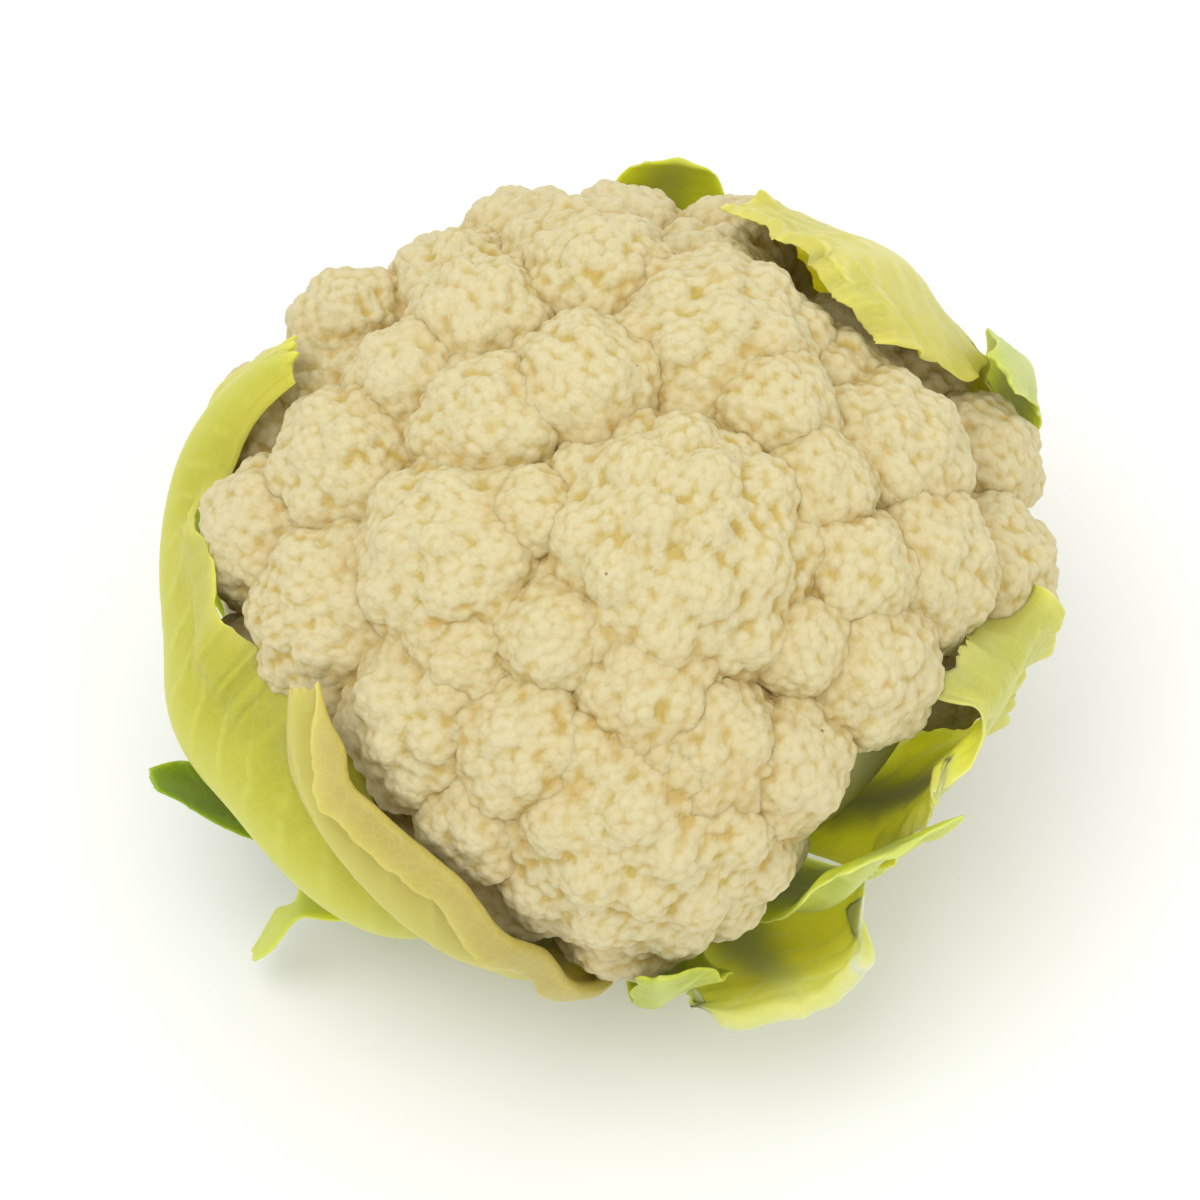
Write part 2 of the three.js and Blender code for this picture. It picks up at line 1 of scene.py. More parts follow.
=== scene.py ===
"""A trimmed head of white cauliflower, finished round its CAD frame.

The curd is made floret by floret. Knobs lie on a golden-angle spiral over each floret, with smaller knobs in
the room between them, and buds and mounds are spread evenly over the knobs. The leaves follow the same bowls
and ribs as the CAD solids, with veins, waves, folds and ragged edges added. Lengths in the tables are in
millimetres and angles in degrees. +Z is up and the front of the head faces -Y.
"""

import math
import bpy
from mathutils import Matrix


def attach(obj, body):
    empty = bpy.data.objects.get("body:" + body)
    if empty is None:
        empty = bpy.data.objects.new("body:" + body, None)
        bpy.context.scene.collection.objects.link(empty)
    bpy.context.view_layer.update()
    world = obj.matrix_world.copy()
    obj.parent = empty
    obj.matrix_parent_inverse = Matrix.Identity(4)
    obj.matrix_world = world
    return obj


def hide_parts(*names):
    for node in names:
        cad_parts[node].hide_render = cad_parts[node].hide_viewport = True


bl_info = {
    "name": "Cauliflower head",
    "version": (1, 0, 0),
    "blender": (4, 5, 0),
    "location": "View3D > Sidebar > Cauliflower",
    "description": "Makes the curd, branches, cut stalk and leaves of a trimmed cauliflower",
    "category": "Add Mesh",
}

import bpy
import numpy as np

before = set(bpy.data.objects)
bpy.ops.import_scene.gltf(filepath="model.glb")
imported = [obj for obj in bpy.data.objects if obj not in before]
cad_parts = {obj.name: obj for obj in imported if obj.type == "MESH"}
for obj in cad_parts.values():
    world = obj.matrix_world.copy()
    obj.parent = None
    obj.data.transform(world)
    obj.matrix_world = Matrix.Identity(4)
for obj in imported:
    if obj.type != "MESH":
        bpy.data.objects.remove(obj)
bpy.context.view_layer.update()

MM = 0.001

# The head, as in the CAD source
CURD_WIDTH = 180.0
CURD_RISE = 78.0
WIDEST_LEVEL = 62.0
VIEW_TILT = 55.0
VIEW_DISTANCE = 900.0
FLORET_BULGE = 1.16
FLORET_REACH = 84.0
KNOB_SPACING = 12.5
SPACING_GROWTH = 0.2
KNOB_SPREAD = 0.64
KNOB_FILL = 0.68
KNOB_JITTER = 0.1
SMALLEST_KNOB = 3.4
PACKING = 1.155
SHARE_SLACK = 1.0
KNOB_SLACK = 0.2
FEWEST_KNOBS = 4
SEED_STEP = 7919
EYE_TURN = 67.0
RIM_DROP = 22.0
CORE_SHARE = 0.78
FLORET_CORE = 0.85
CORE_LIFT = 3.0
GOLDEN_TURN = 137.508

# The underside and the stalk
FOOT_LEVEL = 34.0
FOOT_RADIUS = 25.0
UNDERSIDE_SLOPE = 0.13
CORE_INSET = 0.96
STALK_RADIUS = 23.0
STALK_WAIST = 21.5
STALK_BEVEL = 1.6

# The leaves
BLADE = 0.8
MARGIN = 0.7
CLEARANCE = 1.8
NODE_GAP = 0.3
LEAF_STEPS = 14
HALF_STEPS = 3
LOOK_ROUND = 0.05
FACE_PULL = 0.35
ARC_PARTS = 8
RIB_FOOT = 2.5
RIB_SLOPE = 1.5
TIP_TEETH = 12.0
LEAF_OPENING = 3.0

MIDDLE = np.array([0.0, 0.0, WIDEST_LEVEL])
DOME = np.array([CURD_WIDTH / 2, CURD_WIDTH / 2, CURD_RISE])

# The florets on the front of the head: [across, up, half width, proud], as they show from the front
FRONT_FLORETS = [
    [13, 10, 31, 6],
    [-44, 8, 23, 4],
    [-18, -11, 12, 1],
    [6, -25, 15, 2],
    [4, -62, 34, 7],
    [-25, -39, 17, 3],
    [-36, -56, 15, 2],
    [19, -40, 17, 3],
    [38, -44, 15, 2],
    [-50, -33, 22, 2],
    [-74, -6, 21, 4],
    [-69, 31, 20, 4],
    [-34, 41, 17, 2],
    [-11, 51, 17, 2],
    [-36, 64, 17, 4],
    [-7, 75, 17, 4],
    [23, 63, 26, 4],
    [36, 44, 13, 2],
    [46, 25, 13, 1],
    [66, 34, 19, 3],
    [55, 4, 14, 2],
    [74, 6, 18, 3],
    [60, -19, 17, 2],
    [42, -13, 11, 0],
    [-63, 59, 14, 8],
    [-52, 50, 14, 3],
    [-76, -46, 14, 1],
    [-62, -61, 12, 0],
    [88, 3, 17, 5],
    [25, 84, 14, 2],
    [-22, 18, 10, 0],
    [-39, -15, 12, 0],
    [52, 54, 15, -3],
    [-84, 12, 16, 8],
    [-80, 39, 15, 8],
    [-86, -24, 16, 6],
    [-26, 84, 15, 4],
    [84, 30, 15, 5],
    [74, 50, 15, -2],
]

# The florets that the front hides and those round the rim: [azimuth, lift, half width, proud]
HIDDEN_FLORETS = [
    [12, 24, 17, -4],
    [38, 34, 18, -6],
    [66, 22, 19, -5],
    [92, 34, 18, 2],
    [96, 8, 18, 0],
    [121, 20, 19, 2],
    [147, 10, 18, 1],
    [40, 8, 17, -6],
    [12, -4, 16, -2],
    [68, -4, 16, -2],
    [122, -6, 16, -3],
    [150, -10, 14, 0],
    [176, -8, 16, 0],
    [203, -10, 15, -3],
    [232, -8, 13, -6],
    [270, -11, 15, 1],
    [251, -9, 12, -3],
    [349, -7, 16, -5],
    [70, 48, 18, -3],
    [102, 52, 19, 2],
    [130, 42, 19, 2],
    [156, 34, 17, 2],
    [172, 12, 16, 2],
]

BOWL_RADII = [24.5, 42, 60, 76, 88, 93, 91.5, 82, 66, 45, 22]
BOWL_LEVELS = [22, 24, 30, 40, 53, 68, 85, 103, 121, 134, 141]
BOWL_RISE = len(BOWL_RADII) - 1

# The leaves. A rib's points are [azimuth, rise, distance off the bowl], and half widths and rib heights run
# from base to tip. The colours are those of the rib, the blade, the edge and the inner face. "frill" is how
# far a margin waves, "torn" how much of it is cut back, "rim" how wide its colour is, and "blunt" how round
# the tip's corners are. "flare" is how far the left margin, the right one and the tip turn out, and "ease" how
# often the sheet is smoothed. A fold is (side, length, turn, radius of the roll, where it starts and ends).
LEAVES = {
    "leaf_left": dict(
        slot="leaf_green",
        rib=[[237, 0, 7], [237, 1.5, 7], [236, 3, 5], [230, 4.2, 3], [218, 4.7, 2.5], [206, 4.7, 2.5],
             [196, 4.9, 2], [183, 5.2, 2], [172, 5.8, 1.5], [167, 6.8, 1.5], [163, 7.9, 1]],
        left=[7, 10, 12, 15, 15, 11, 4], right=[7, 9, 12, 18, 19, 12, 4],
        height=[5.5, 5.5, 5, 4.5, 4, 3, 1.5], cup=[22, 62], ruffle=1.2, teeth=0.16,
        frill=1.4, torn=1.1, ease=9, folds=[("right", 14, -24, 6, 0.2, 0.8)],
        colours=["#C6C75C", "#BCB834", "#D0CA54", "#C9BE2E"],
    ),
    "leaf_front_left": dict(
        slot="leaf_pale",
        rib=[[259, 0, 2], [259, 1.6, 1], [257, 3, 0], [252, 4.1, 1], [245, 4.9, 1.5], [238, 5.4, 1.5],
             [230, 5.9, 1.5], [223, 6.4, 0.5], [218, 6.9, 0]],
        left=[7, 9, 9, 8, 8, 7, 3], right=[7, 10, 12, 15, 14, 10, 3],
        height=[5, 4.5, 4, 3.2, 2.4, 1.4, 0.4], cup=[26, 34], ruffle=1.2, teeth=0.16,
        frill=0.8, folds=[("right", 7, 160, 1.4, 0.1, 1.0)],
        colours=["#C2BC62", "#BFB252", "#BDAE68", "#B4A25C"],
    ),
    "leaf_right": dict(
        slot="leaf_pale",
        rib=[[320, 0, 2], [322, 1.5, -1], [325, 3, -6], [328, 4.2, -10], [330, 5, -10], [332, 5.7, -7],
             [333, 6.3, -3]],
        left=[8, 13, 18, 21, 22, 22, 16], right=[8, 14, 19, 23, 24, 23, 19],
        height=[5, 4.5, 4, 3, 2.2, 1.4, 0.8], cup=[8, 6], ruffle=2, teeth=0.12,
        flare=(2, 0, 1), frill=1.4, torn=0.8, rim=8,
        folds=[("left", 7, 12, 4, 0.2, 1.0), ("right", 10, 8, 4, 0.05, 0.5),
               ("tip", 10, -80, 3, -0.03, 1.04)],
        # The inner face's colour is brightened as painted light, where that face sits in shade
        colours=["#C8CA74", "#B8B850", "#C8C66C", "#ECEC50"],
    ),
    "leaf_front_right": dict(
        slot="leaf_green",
        rib=[[297, 0, 7], [298, 1.5, 4], [301, 3, -2], [304, 4.1, -7], [306, 4.9, -7], [307, 5.5, -3]],
        left=[7, 12, 15, 16, 16, 12], right=[7, 11, 14, 18, 20, 15],
        height=[5, 4.5, 4, 3, 2.2, 1.4], cup=[8, 4], ruffle=1.6, teeth=0.12,
        flare=(1, 2, 2), frill=0.9, torn=0.5, rim=4,
        # The inner face's colour is brightened as painted light, where that face sits in shade
        colours=["#C4CC74", "#A9B838", "#BCC866", "#D6E63C"],
    ),
    "leaf_front": dict(
        slot="leaf_pale",
        rib=[[291, 0, 13], [291, 1.3, 13], [291, 2.3, 12], [291, 3, 10.5], [291, 3.5, 10], [291, 3.8, 12.5]],
        left=[6, 9, 13, 17, 21, 19], right=[6, 9, 13, 16, 17, 11],
        height=[4, 4, 3, 2, 1.2, 0.6, 0.4], cup=[10, 10], ruffle=0.6, teeth=0.1,
        frill=0.5, torn=0.2, rim=9, blunt=0.2,
        folds=[("right", 9, -40, 8, 0.3, 1.5), ("tip", 1.5, 110, 2, -1, 2)],
        colours=["#C8CC88", "#BDC070", "#CFD294", "#C8BE30"],
    ),
    "leaf_back_right": dict(
        slot="leaf_pale",
        rib=[[48, 0, 2], [48, 2, 0], [48, 4, -2], [47, 5.8, -4], [45, 7.2, -3], [42, 8.7, 0]],
        left=[8, 17, 26, 33, 35, 34, 28], right=[8, 17, 26, 32, 34, 32, 26],
        height=[5, 5, 4, 3, 2, 1], cup=[26, 26], ruffle=2, teeth=0.16,
        frill=1.5, torn=1.6, folds=[("tip", 4, -25, 4, -1, 2)],
        colours=["#D6D080", "#CDC556", "#D4CA5A", "#D6C63C"],
    ),
    "leaf_right_back": dict(
        slot="leaf_green",
        rib=[[24, 0, 7], [26, 2, 6], [28, 4, 4], [27, 5.4, 2], [22, 6.5, 2], [14, 7.3, 2.5]],
        left=[7, 10, 12, 12, 9, 5], right=[7, 12, 14, 14, 9, 5],
        height=[5, 5, 4, 3, 2, 1], cup=[16, 16], ruffle=1.6, teeth=0.14,
        colours=["#C2CA78", "#A6B43C", "#B8C258", "#B0B84A"],
    ),
    "leaf_back": dict(
        slot="leaf_green",
        rib=[[88, 0, 7], [88, 2, 7], [87, 4, 6], [85, 5.6, 4], [82, 6.8, 2]],
        left=[7, 15, 20, 20, 14, 8], right=[7, 15, 20, 18, 12, 8],
        height=[5, 5, 4, 3, 2, 1], cup=[16, 16], ruffle=1.6, teeth=0.14,
        colours=["#C2C860", "#A8B42A", "#B9BE3A", "#B2B62C"],
    ),
    "leaf_back_left": dict(
        slot="leaf_green",
        rib=[[130, 0, 2], [130, 1.6, 2], [131, 3.2, 2], [132, 4.4, 3], [132, 5.1, 4]],
        left=[8, 16, 25, 30, 26, 16], right=[8, 16, 25, 30, 26, 16],
        height=[5, 5, 4, 3, 2, 1], cup=[20, 20], ruffle=1.8, teeth=0.16,
        colours=["#CDD388", "#B0BA40", "#C2C962", "#B8BC4A"],
    ),
    "leaf_left_back": dict(
        slot="leaf_dark",
        rib=[[170, 0, 7], [169, 2, 8], [168, 3.4, 8], [167, 4.4, 9]],
        left=[7, 13, 17, 13, 4], right=[7, 13, 17, 13, 4],
        height=[5, 5, 4, 2.4, 0.5], cup=[14, 14], ruffle=1.2, teeth=0.12, steps=10,
        colours=["#BCC774", "#84991F", "#93A62E", "#8FA030"],
    ),
    "leaf_left_low": dict(
        slot="leaf_dark",
        rib=[[205, 0, 10], [205, 1.5, 11], [205, 3, 12], [204, 3.8, 15], [203, 4.4, 19]],
        left=[6, 10, 13, 10, 3], right=[6, 10, 13, 10, 3],
        height=[4, 4, 3, 1.6, 0.4], cup=[12, 12], ruffle=1, teeth=0.06, steps=10,
        colours=["#8FA63A", "#5F7D0C", "#6C881A", "#6A8418"],
    ),
    "leaf_front_low": dict(
        slot="leaf_green",
        rib=[[271, 0, 8], [273, 1.5, 8], [275, 3, 6], [275, 4, 5], [274, 4.7, 4]],
        left=[4, 6, 7, 7, 5], right=[4, 7, 12, 14, 7],
        height=[4, 4, 2.6, 1.6, 0.8], cup=[14, 14], ruffle=1, teeth=0.14, steps=10,
        colours=["#BCC668", "#98A424", "#A8B236", "#A4AC34"],
    ),
    "leaf_torn": dict(
        slot="leaf_green",
        rib=[[220, 0, 13], [220, 1.2, 13], [220, 2.2, 14], [220, 2.9, 18], [219, 3.1, 26], [217, 3, 40]],
        left=[3, 3, 3, 2.5, 8, 2.5, 6, 1.5], right=[3, 3, 3, 2.5, 9, 2.5, 5, 1.5],
        height=[2.5, 2.5, 2, 1.6, 1, 0.6, 0.4], cup=[6, 6], ruffle=0.5, teeth=0.1, steps=16, halves=2,
        colours=["#C2C95C", "#A9B430", "#B8C048", "#B2BA40"],
    ),
}

# Points along a leaf and across each half of it in the finished mesh
FINE_ROWS = {"leaf_left": 120, "leaf_back_right": 104, "leaf_front_left": 96, "leaf_right": 84}
USUAL_ROWS = 64
FINE_HALF = {"leaf_left": 20, "leaf_back_right": 32, "leaf_right": 28, "leaf_back_left": 26, "leaf_front": 24}
USUAL_HALF = 18
FOLD_STEPS = 12
FOLD_EASE = 60
SHEET_EASE = 5
FOLD_RISE = 6  # how steeply a fold starts and ends along its margin
TIP_START = 0.7  # share of a leaf's length where its tip starts to turn out
RIM_FADE = 3.0
WIDE_ENOUGH = 42.0  # a leaf narrower than this has less of a frill


def linear(hex_colour):
    """The linear RGBA of an sRGB hex colour."""
    parts = [int(hex_colour[i:i + 2], 16) / 255 for i in (1, 3, 5)]
    return tuple(c / 12.92 if c <= 0.04045 else ((c + 0.055) / 1.055) ** 2.4 for c in parts) + (1.0,)


def unit(vectors):
    """Vectors at length 1."""
    return vectors / np.maximum(np.linalg.norm(vectors, axis=-1, keepdims=True), 1e-12)


def park_miller(seed):
    """Repeatable noise from 0 to 1, the same as the CAD source draws."""
    state = seed
    while True:
        state = (state * 16807) % 2147483647
        yield state / 2147483647


def value_at(values, t):
    """A smooth value at share t of the way through a list, by uniform Catmull-Rom."""
    values = np.asarray(values, float)
    t = np.asarray(t, float)
    ends = [2 * values[:1] - values[1:2], values, 2 * values[-1:] - values[-2:-1]]
    padded = np.concatenate(ends)
    last = len(values) - 1
    place = np.clip(t, 0, 1) * last
    i = np.minimum(np.floor(place).astype(int), last - 1)
    s = (place - i).reshape(t.shape + (1,) * (values.ndim - 1))
    a, b, c, d = (padded[i + k] for k in range(4))
    return b + 0.5 * s * (c - a + s * (2 * a - 5 * b + 4 * c - d + s * (3 * (b - c) + d - a)))


def front_point(across, up):
    """The point of the dome, from its middle, that shows at across and up from the front."""
    tilt = math.radians(VIEW_TILT)
    eye = np.array([0, -math.cos(tilt), math.sin(tilt)]) * VIEW_DISTANCE / DOME
    shown = np.array([across, math.sin(tilt) * up, math.cos(tilt) * up]) / DOME
    ray = shown - eye
    a, b = ray @ ray, eye @ ray
    inside = max(b * b - a * (eye @ eye - 1), 0)
    return unit(eye + ray * (-b - math.sqrt(inside)) / a) * DOME


def round_point(azimuth, lift):
    """The point of the dome at an azimuth and a lift above the widest level."""
    az, up = math.radians(azimuth), math.radians(lift)
    return np.array([math.cos(az) * math.cos(up), math.sin(az) * math.cos(up), math.sin(up)]) * DOME


def make_florets():
    """Each floret as a ball sunk into the dome, with its top at the dome's surface."""
    tops = [(front_point(across, up), half, proud) for across, up, half, proud in FRONT_FLORETS]
    tops += [(round_point(azimuth, lift), half, proud) for azimuth, lift, half, proud in HIDDEN_FLORETS]
    florets = []
    for index, (top, half, proud) in enumerate(tops):
        axis = unit(top / DOME / DOME)
        ball = half * FLORET_BULGE
        florets.append(dict(axis=axis, ball=ball, half=half, index=index, centre=top + axis * (proud - ball)))
    return florets


def knobs_of(floret):
    """The centres and radii of a floret's knobs, on a golden-angle spiral round its eye."""
    axis, ball, index = floret["axis"], floret["ball"], floret["index"]
    noise = park_miller((index + 1) * SEED_STEP)
    side = unit(np.cross([0.0, 0.0, 1.0], axis))
    across = np.cross(axis, side)
    spacing = KNOB_SPACING + SPACING_GROWTH * floret["half"]
    reach = math.radians(FLORET_REACH)
    cap = 2 * math.pi * ball * ball * (1 - math.cos(reach))
    count = max(FEWEST_KNOBS, round(cap * PACKING / spacing**2))
    centres, radii = [], []
    for i in range(count):
        share = ((i + 0.5) / count) ** KNOB_SPREAD
        room = cap * KNOB_SPREAD * share**2 / (i + 0.5)
        radius = KNOB_FILL * math.sqrt(PACKING * room) * (1 + KNOB_JITTER * (2 * next(noise) - 1))
        radius = max(SMALLEST_KNOB, radius)
        polar = reach * share * (1 + KNOB_JITTER * (2 * next(noise) - 1))
        turn = math.radians(index * EYE_TURN + i * GOLDEN_TURN)
        out = axis * math.cos(polar) + (side * math.cos(turn) + across * math.sin(turn)) * math.sin(polar)
        centres.append(floret["centre"] + out * (ball - radius))
        radii.append(radius)
    return np.array(centres), np.array(radii)


def leaves_ball(directions, centres, radii):
    """How far from the head's middle rays leave balls, or 0 where they miss, as a table of rays by balls."""
    along = directions @ centres.T
    inside = radii**2 - (centres**2).sum(axis=1) + along**2
    return np.where(inside > 0, along + np.sqrt(np.maximum(inside, 0)), 0)


def body_along(directions):
    """How far the body behind the florets reaches: a smaller dome, a flat foot and a sloping underside."""
    in_dome = CORE_SHARE / np.linalg.norm(directions / DOME, axis=1)
    drop = WIDEST_LEVEL - FOOT_LEVEL
    outwards = np.hypot(directions[:, 0], directions[:, 1])
    down = np.maximum(-directions[:, 2], 1e-9)
    fall = np.maximum(UNDERSIDE_SLOPE * outwards - directions[:, 2], 1e-9)
    return np.minimum(in_dome, np.minimum(drop / down, (drop + UNDERSIDE_SLOPE * FOOT_RADIUS) / fall))


def balls_of(florets):
    """The centres and radii of the florets' balls."""
    return np.array([f["centre"] for f in florets]), np.array([f["ball"] for f in florets])


def visible_knobs(florets):
    """The centres and radii of the knobs that show on the whole head."""
    cast = [knobs_of(floret) for floret in florets]
    centres = np.concatenate([c for c, _ in cast])
    radii = np.concatenate([r for _, r in cast])
    owner = np.concatenate([[i] * len(r) for i, (_, r) in enumerate(cast)])
    directions = unit(centres)
    shares = leaves_ball(directions, *balls_of(florets))
    own = shares[np.arange(len(radii)), owner]
    keep = (centres[:, 2] > -RIM_DROP) & (shares <= own[:, None] + SHARE_SLACK).all(axis=1)
    centres, radii, directions = centres[keep], radii[keep], directions[keep]
    table = leaves_ball(directions, centres, radii)
    own = np.diagonal(table).copy()
    np.fill_diagonal(table, 0)
    keep = (table < own[:, None] + KNOB_SLACK).all(axis=1)
    return centres[keep], radii[keep]


FLORETS = make_florets()


def curd_balls():
    """The balls that leaves keep clear of: the knobs that show and the cores of the florets."""
    centres, radii = visible_knobs(FLORETS)
    cores, sizes = balls_of(FLORETS)
    sizes = sizes * FLORET_CORE
    high = cores[:, 2] - sizes > FOOT_LEVEL + CORE_LIFT - WIDEST_LEVEL
    return np.concatenate([centres, cores[high]]), np.concatenate([radii, sizes[high]])


def bowl_point(azimuth, rise, off):
    """The point of the bowl at an azimuth and a rise, moved off it along its outward normal."""
    def profile(at):
        return np.array([value_at(BOWL_RADII, at / BOWL_RISE), value_at(BOWL_LEVELS, at / BOWL_RISE)])

    at = min(max(rise, 0), BOWL_RISE)
    radius, level = profile(at)
    tangent = unit(profile(at + 0.01) - profile(at - 0.01))
    outwards = radius + tangent[1] * off
    az = math.radians(azimuth)
    return np.array([outwards * math.cos(az), outwards * math.sin(az), level - tangent[0] * off])


def clear_of_curd(point, balls):
    """A point moved straight out from the head's middle until it clears the curd round about it."""
    reach = point - MIDDLE
    far = np.linalg.norm(reach)
    direction = reach / far
    side = unit(np.array([-direction[1], direction[0], 0]))
    rise = np.cross(direction, side)
    steps = ((0, 0), (1, 0), (-1, 0), (0, 1), (0, -1))
    looks = unit(np.array([direction + LOOK_ROUND * (a * side + b * rise) for a, b in steps]))
    room = max(leaves_ball(looks, *balls).max(), body_along(looks).max())
    return direction * max(far, room + CLEARANCE + BLADE / 2) + MIDDLE


def edge_wave(u, phase):
    """The waves of a leaf's edge at share u of its length, from -1 to 1: long waves under short ones."""
    return 0.6 * np.sin(19 * u + phase) + 0.4 * np.sin(37 * u + 2 * phase)


def stalk_radius(level):
    """The stalk's radius at a level above the cut."""
    return STALK_WAIST + (STALK_RADIUS - STALK_WAIST) * (2 * level / FOOT_LEVEL - 1) ** 2


def leaf_faces(leaf, balls):
    """The outer and inner faces of a leaf as coarse grids of points, as the CAD source lays them."""
    places = np.array([bowl_point(*place) for place in leaf["rib"]])
    phase = leaf["rib"][0][0]
    steps, halves = leaf.get("steps", LEAF_STEPS), leaf.get("halves", HALF_STEPS)
    outer, inner = [], []
    normal = None
    for row in range(steps + 1):
        u = row / steps
        point = value_at(places, u)
        tangent = unit(value_at(places, min(1, u + 0.01)) - value_at(places, max(0, u - 0.01)))
        facing = point - MIDDLE
        facing = unit(facing - tangent * (facing @ tangent))
        normal = facing if normal is None else normal
        normal = unit(normal - tangent * (normal @ tangent))
        if facing @ normal > 0:
            normal = unit(normal + (facing - normal) * FACE_PULL)
        side = unit(np.cross(tangent, normal))
        height = value_at(leaf["height"], u)
        opened = min(1, u * LEAF_OPENING)
        for column in range(-halves, halves + 1):
            half = 1 if column > 0 else 0
            sign = np.sign(column)
            v = abs(column) / halves
            ragged = 1 + leaf["teeth"] * v * v * edge_wave(u, phase + 2 * half)
            width = value_at(leaf["right" if half else "left"], u) * ragged
            bend = math.radians(-leaf["cup"][half] * opened)
            parts = bend * (np.arange(ARC_PARTS) + 0.5) / ARC_PARTS * v
            across = width * v * np.cos(parts).mean()
            out = width * v * np.sin(parts).mean()
            wave = leaf["ruffle"] * opened * v * v * edge_wave(u, phase + 3 + half)
            spot = point + side * sign * across + normal * (out + wave)
            if row == steps:
                spot = spot + tangent * TIP_TEETH * leaf["teeth"] * edge_wave(column / 7, phase)
            clear = clear_of_curd(spot, balls)
            face = normal * math.cos(bend * v) - side * sign * math.sin(bend * v)
            thick = MARGIN if v == 1 else BLADE
            ribbed = height * math.exp(-RIB_SLOPE * (across / (RIB_FOOT + height)) ** 2)
            pair = [clear + face * (thick / 2 + ribbed), clear - face * thick / 2]
            if row == 0:
                for foot in pair:
                    foot[:2] *= (stalk_radius(foot[2]) + NODE_GAP) / math.hypot(foot[0], foot[1])
            outer.append(pair[0])
            inner.append(pair[1])
    shape = (steps + 1, 2 * halves + 1, 3)
    return np.array(outer).reshape(shape), np.array(inner).reshape(shape)


def smooth_grid(grid, u, v):
    """A grid's surface at shares u along it and v across it, both as tables."""
    rows = np.array([value_at(grid[:, column], u) for column in range(grid.shape[1])])
    last = grid.shape[1] - 1
    place = np.clip(v, 0, 1) * last
    i = np.minimum(np.floor(place).astype(int), last - 1)
    s = (place - i)[..., None]
    padded = np.concatenate([2 * rows[:1] - rows[1:2], rows, 2 * rows[-1:] - rows[-2:-1]])
    at = np.indices(u.shape)
    a, b, c, d = (padded[i + k, at[0], at[1]] for k in range(4))
    return b + 0.5 * s * (c - a + s * (2 * a - 5 * b + 4 * c - d + s * (3 * (b - c) + d - a)))


def uneven(x, seed):
    """Smooth noise of x from -1 to 1, a sum of waves whose lengths don't fit together."""
    noise = park_miller(seed * SEED_STEP + 11)
    total = 0
    for step in range(5):
        total = total + np.sin(x * 1.7**step + next(noise) * 2 * math.pi) / 1.35**step
    return total / 2.9


def add(tree, kind, inputs=None, **settings):
    """A new node with its settings, and its inputs linked where a value is a socket, or else set."""
    node = tree.nodes.new(kind)
    for name, value in settings.items():
        setattr(node, name, value)
    for key, value in (inputs or {}).items():
        if isinstance(value, bpy.types.NodeSocket):
            tree.links.new(value, node.inputs[key])
        else:
            node.inputs[key].default_value = value
    return node


def mark(tree, name):
    """The value of a material's point attribute."""
    return add(tree, "ShaderNodeAttribute", attribute_name=name).outputs["Fac"]


def ramp(tree, value, low, high, start, end):
    """A value that goes from start to end while another goes from low to high."""
    return add(tree, "ShaderNodeMapRange", {"Value": value, 1: low, 2: high, 3: start, 4: end}).outputs[0]


def maths(tree, operation, *values, clamp=False):
    """A sum of numbers, in a material or a geometry tree."""
    inputs = dict(enumerate(values))
    return add(tree, "ShaderNodeMath", inputs, operation=operation, use_clamp=clamp).outputs[0]


def mix(tree, factor, a, b, blend="MIX"):
    """One colour over another."""
    inputs = {"Factor": factor, 6: a, 7: b}
    return add(tree, "ShaderNodeMix", inputs, data_type="RGBA", blend_type=blend).outputs[2]


def noise(tree, place, width, detail=2.0):
    """Cloudy noise with lumps of a width in millimetres."""
    inputs = {"Vector": place, "Scale": 1 / (width * MM), "Detail": detail}
    return add(tree, "ShaderNodeTexNoise", inputs).outputs["Fac"]


def cells(tree, place, width, feature="F1"):
    """The distance from the middles, or edges, of cells of a width in millimetres."""
    inputs = {"Vector": place, "Scale": 1 / (width * MM)}
    return add(tree, "ShaderNodeTexVoronoi", inputs, feature=feature).outputs["Distance"]


def bump(tree, height, strength, rise, under=None, invert=False):
    """A normal bent by a height, over another normal where one is given."""
    inputs = {"Strength": strength, "Distance": rise * MM, "Height": height}
    if under is not None:
        inputs["Normal"] = under
    return add(tree, "ShaderNodeBump", inputs, invert=invert).outputs[0]


def new_material(name):
    """A material with an empty node tree, that tree, and the place on the piece that its patterns follow."""
    material = bpy.data.materials.new(name)
    material.use_nodes = True
    tree = material.node_tree
    tree.nodes.clear()
    return material, tree, add(tree, "ShaderNodeTexCoord").outputs["Object"]


def finish_material(tree, inputs):
    """Ends a material's tree in a shader with these inputs."""
    shader = add(tree, "ShaderNodeBsdfPrincipled", inputs)
    add(tree, "ShaderNodeOutputMaterial", {"Surface": shader.outputs[0]})


def geometry_tree(name, inputs):
    """A geometry tree that takes a mesh, these inputs and a material, and the sockets they come in by."""
    tree = bpy.data.node_groups.new(name, "GeometryNodeTree")
    tree.interface.new_socket("Geometry", in_out="OUTPUT", socket_type="NodeSocketGeometry")
    for key, kind in {"Geometry": "Geometry", **inputs, "Material": "Material"}.items():
        tree.interface.new_socket(key, in_out="INPUT", socket_type="NodeSocket" + kind)
    return tree, add(tree, "NodeGroupInput").outputs


def finish_geometry(tree, geometry, material):
    """Ends a geometry tree: smooth, real, and in its material."""
    smooth = add(tree, "GeometryNodeSetShadeSmooth", {"Geometry": geometry}).outputs[0]
    real = add(tree, "GeometryNodeRealizeInstances", {"Geometry": smooth}).outputs[0]
    coated = add(tree, "GeometryNodeSetMaterial", {"Geometry": real, "Material": material}).outputs[0]
    add(tree, "NodeGroupOutput", {0: coated})


def grown(context, base, tree, inputs):
    """The mesh that a geometry tree makes of an object, with the tree's inputs given by name."""
    keys = {item.name: item.identifier for item in tree.interface.items_tree if item.in_out == "INPUT"}
    modifier = base.modifiers.new(tree.name, "NODES")
    modifier.node_group = tree
    for name, value in inputs.items():
        modifier[keys[name]] = value
    return bpy.data.meshes.new_from_object(base.evaluated_get(context.evaluated_depsgraph_get()))


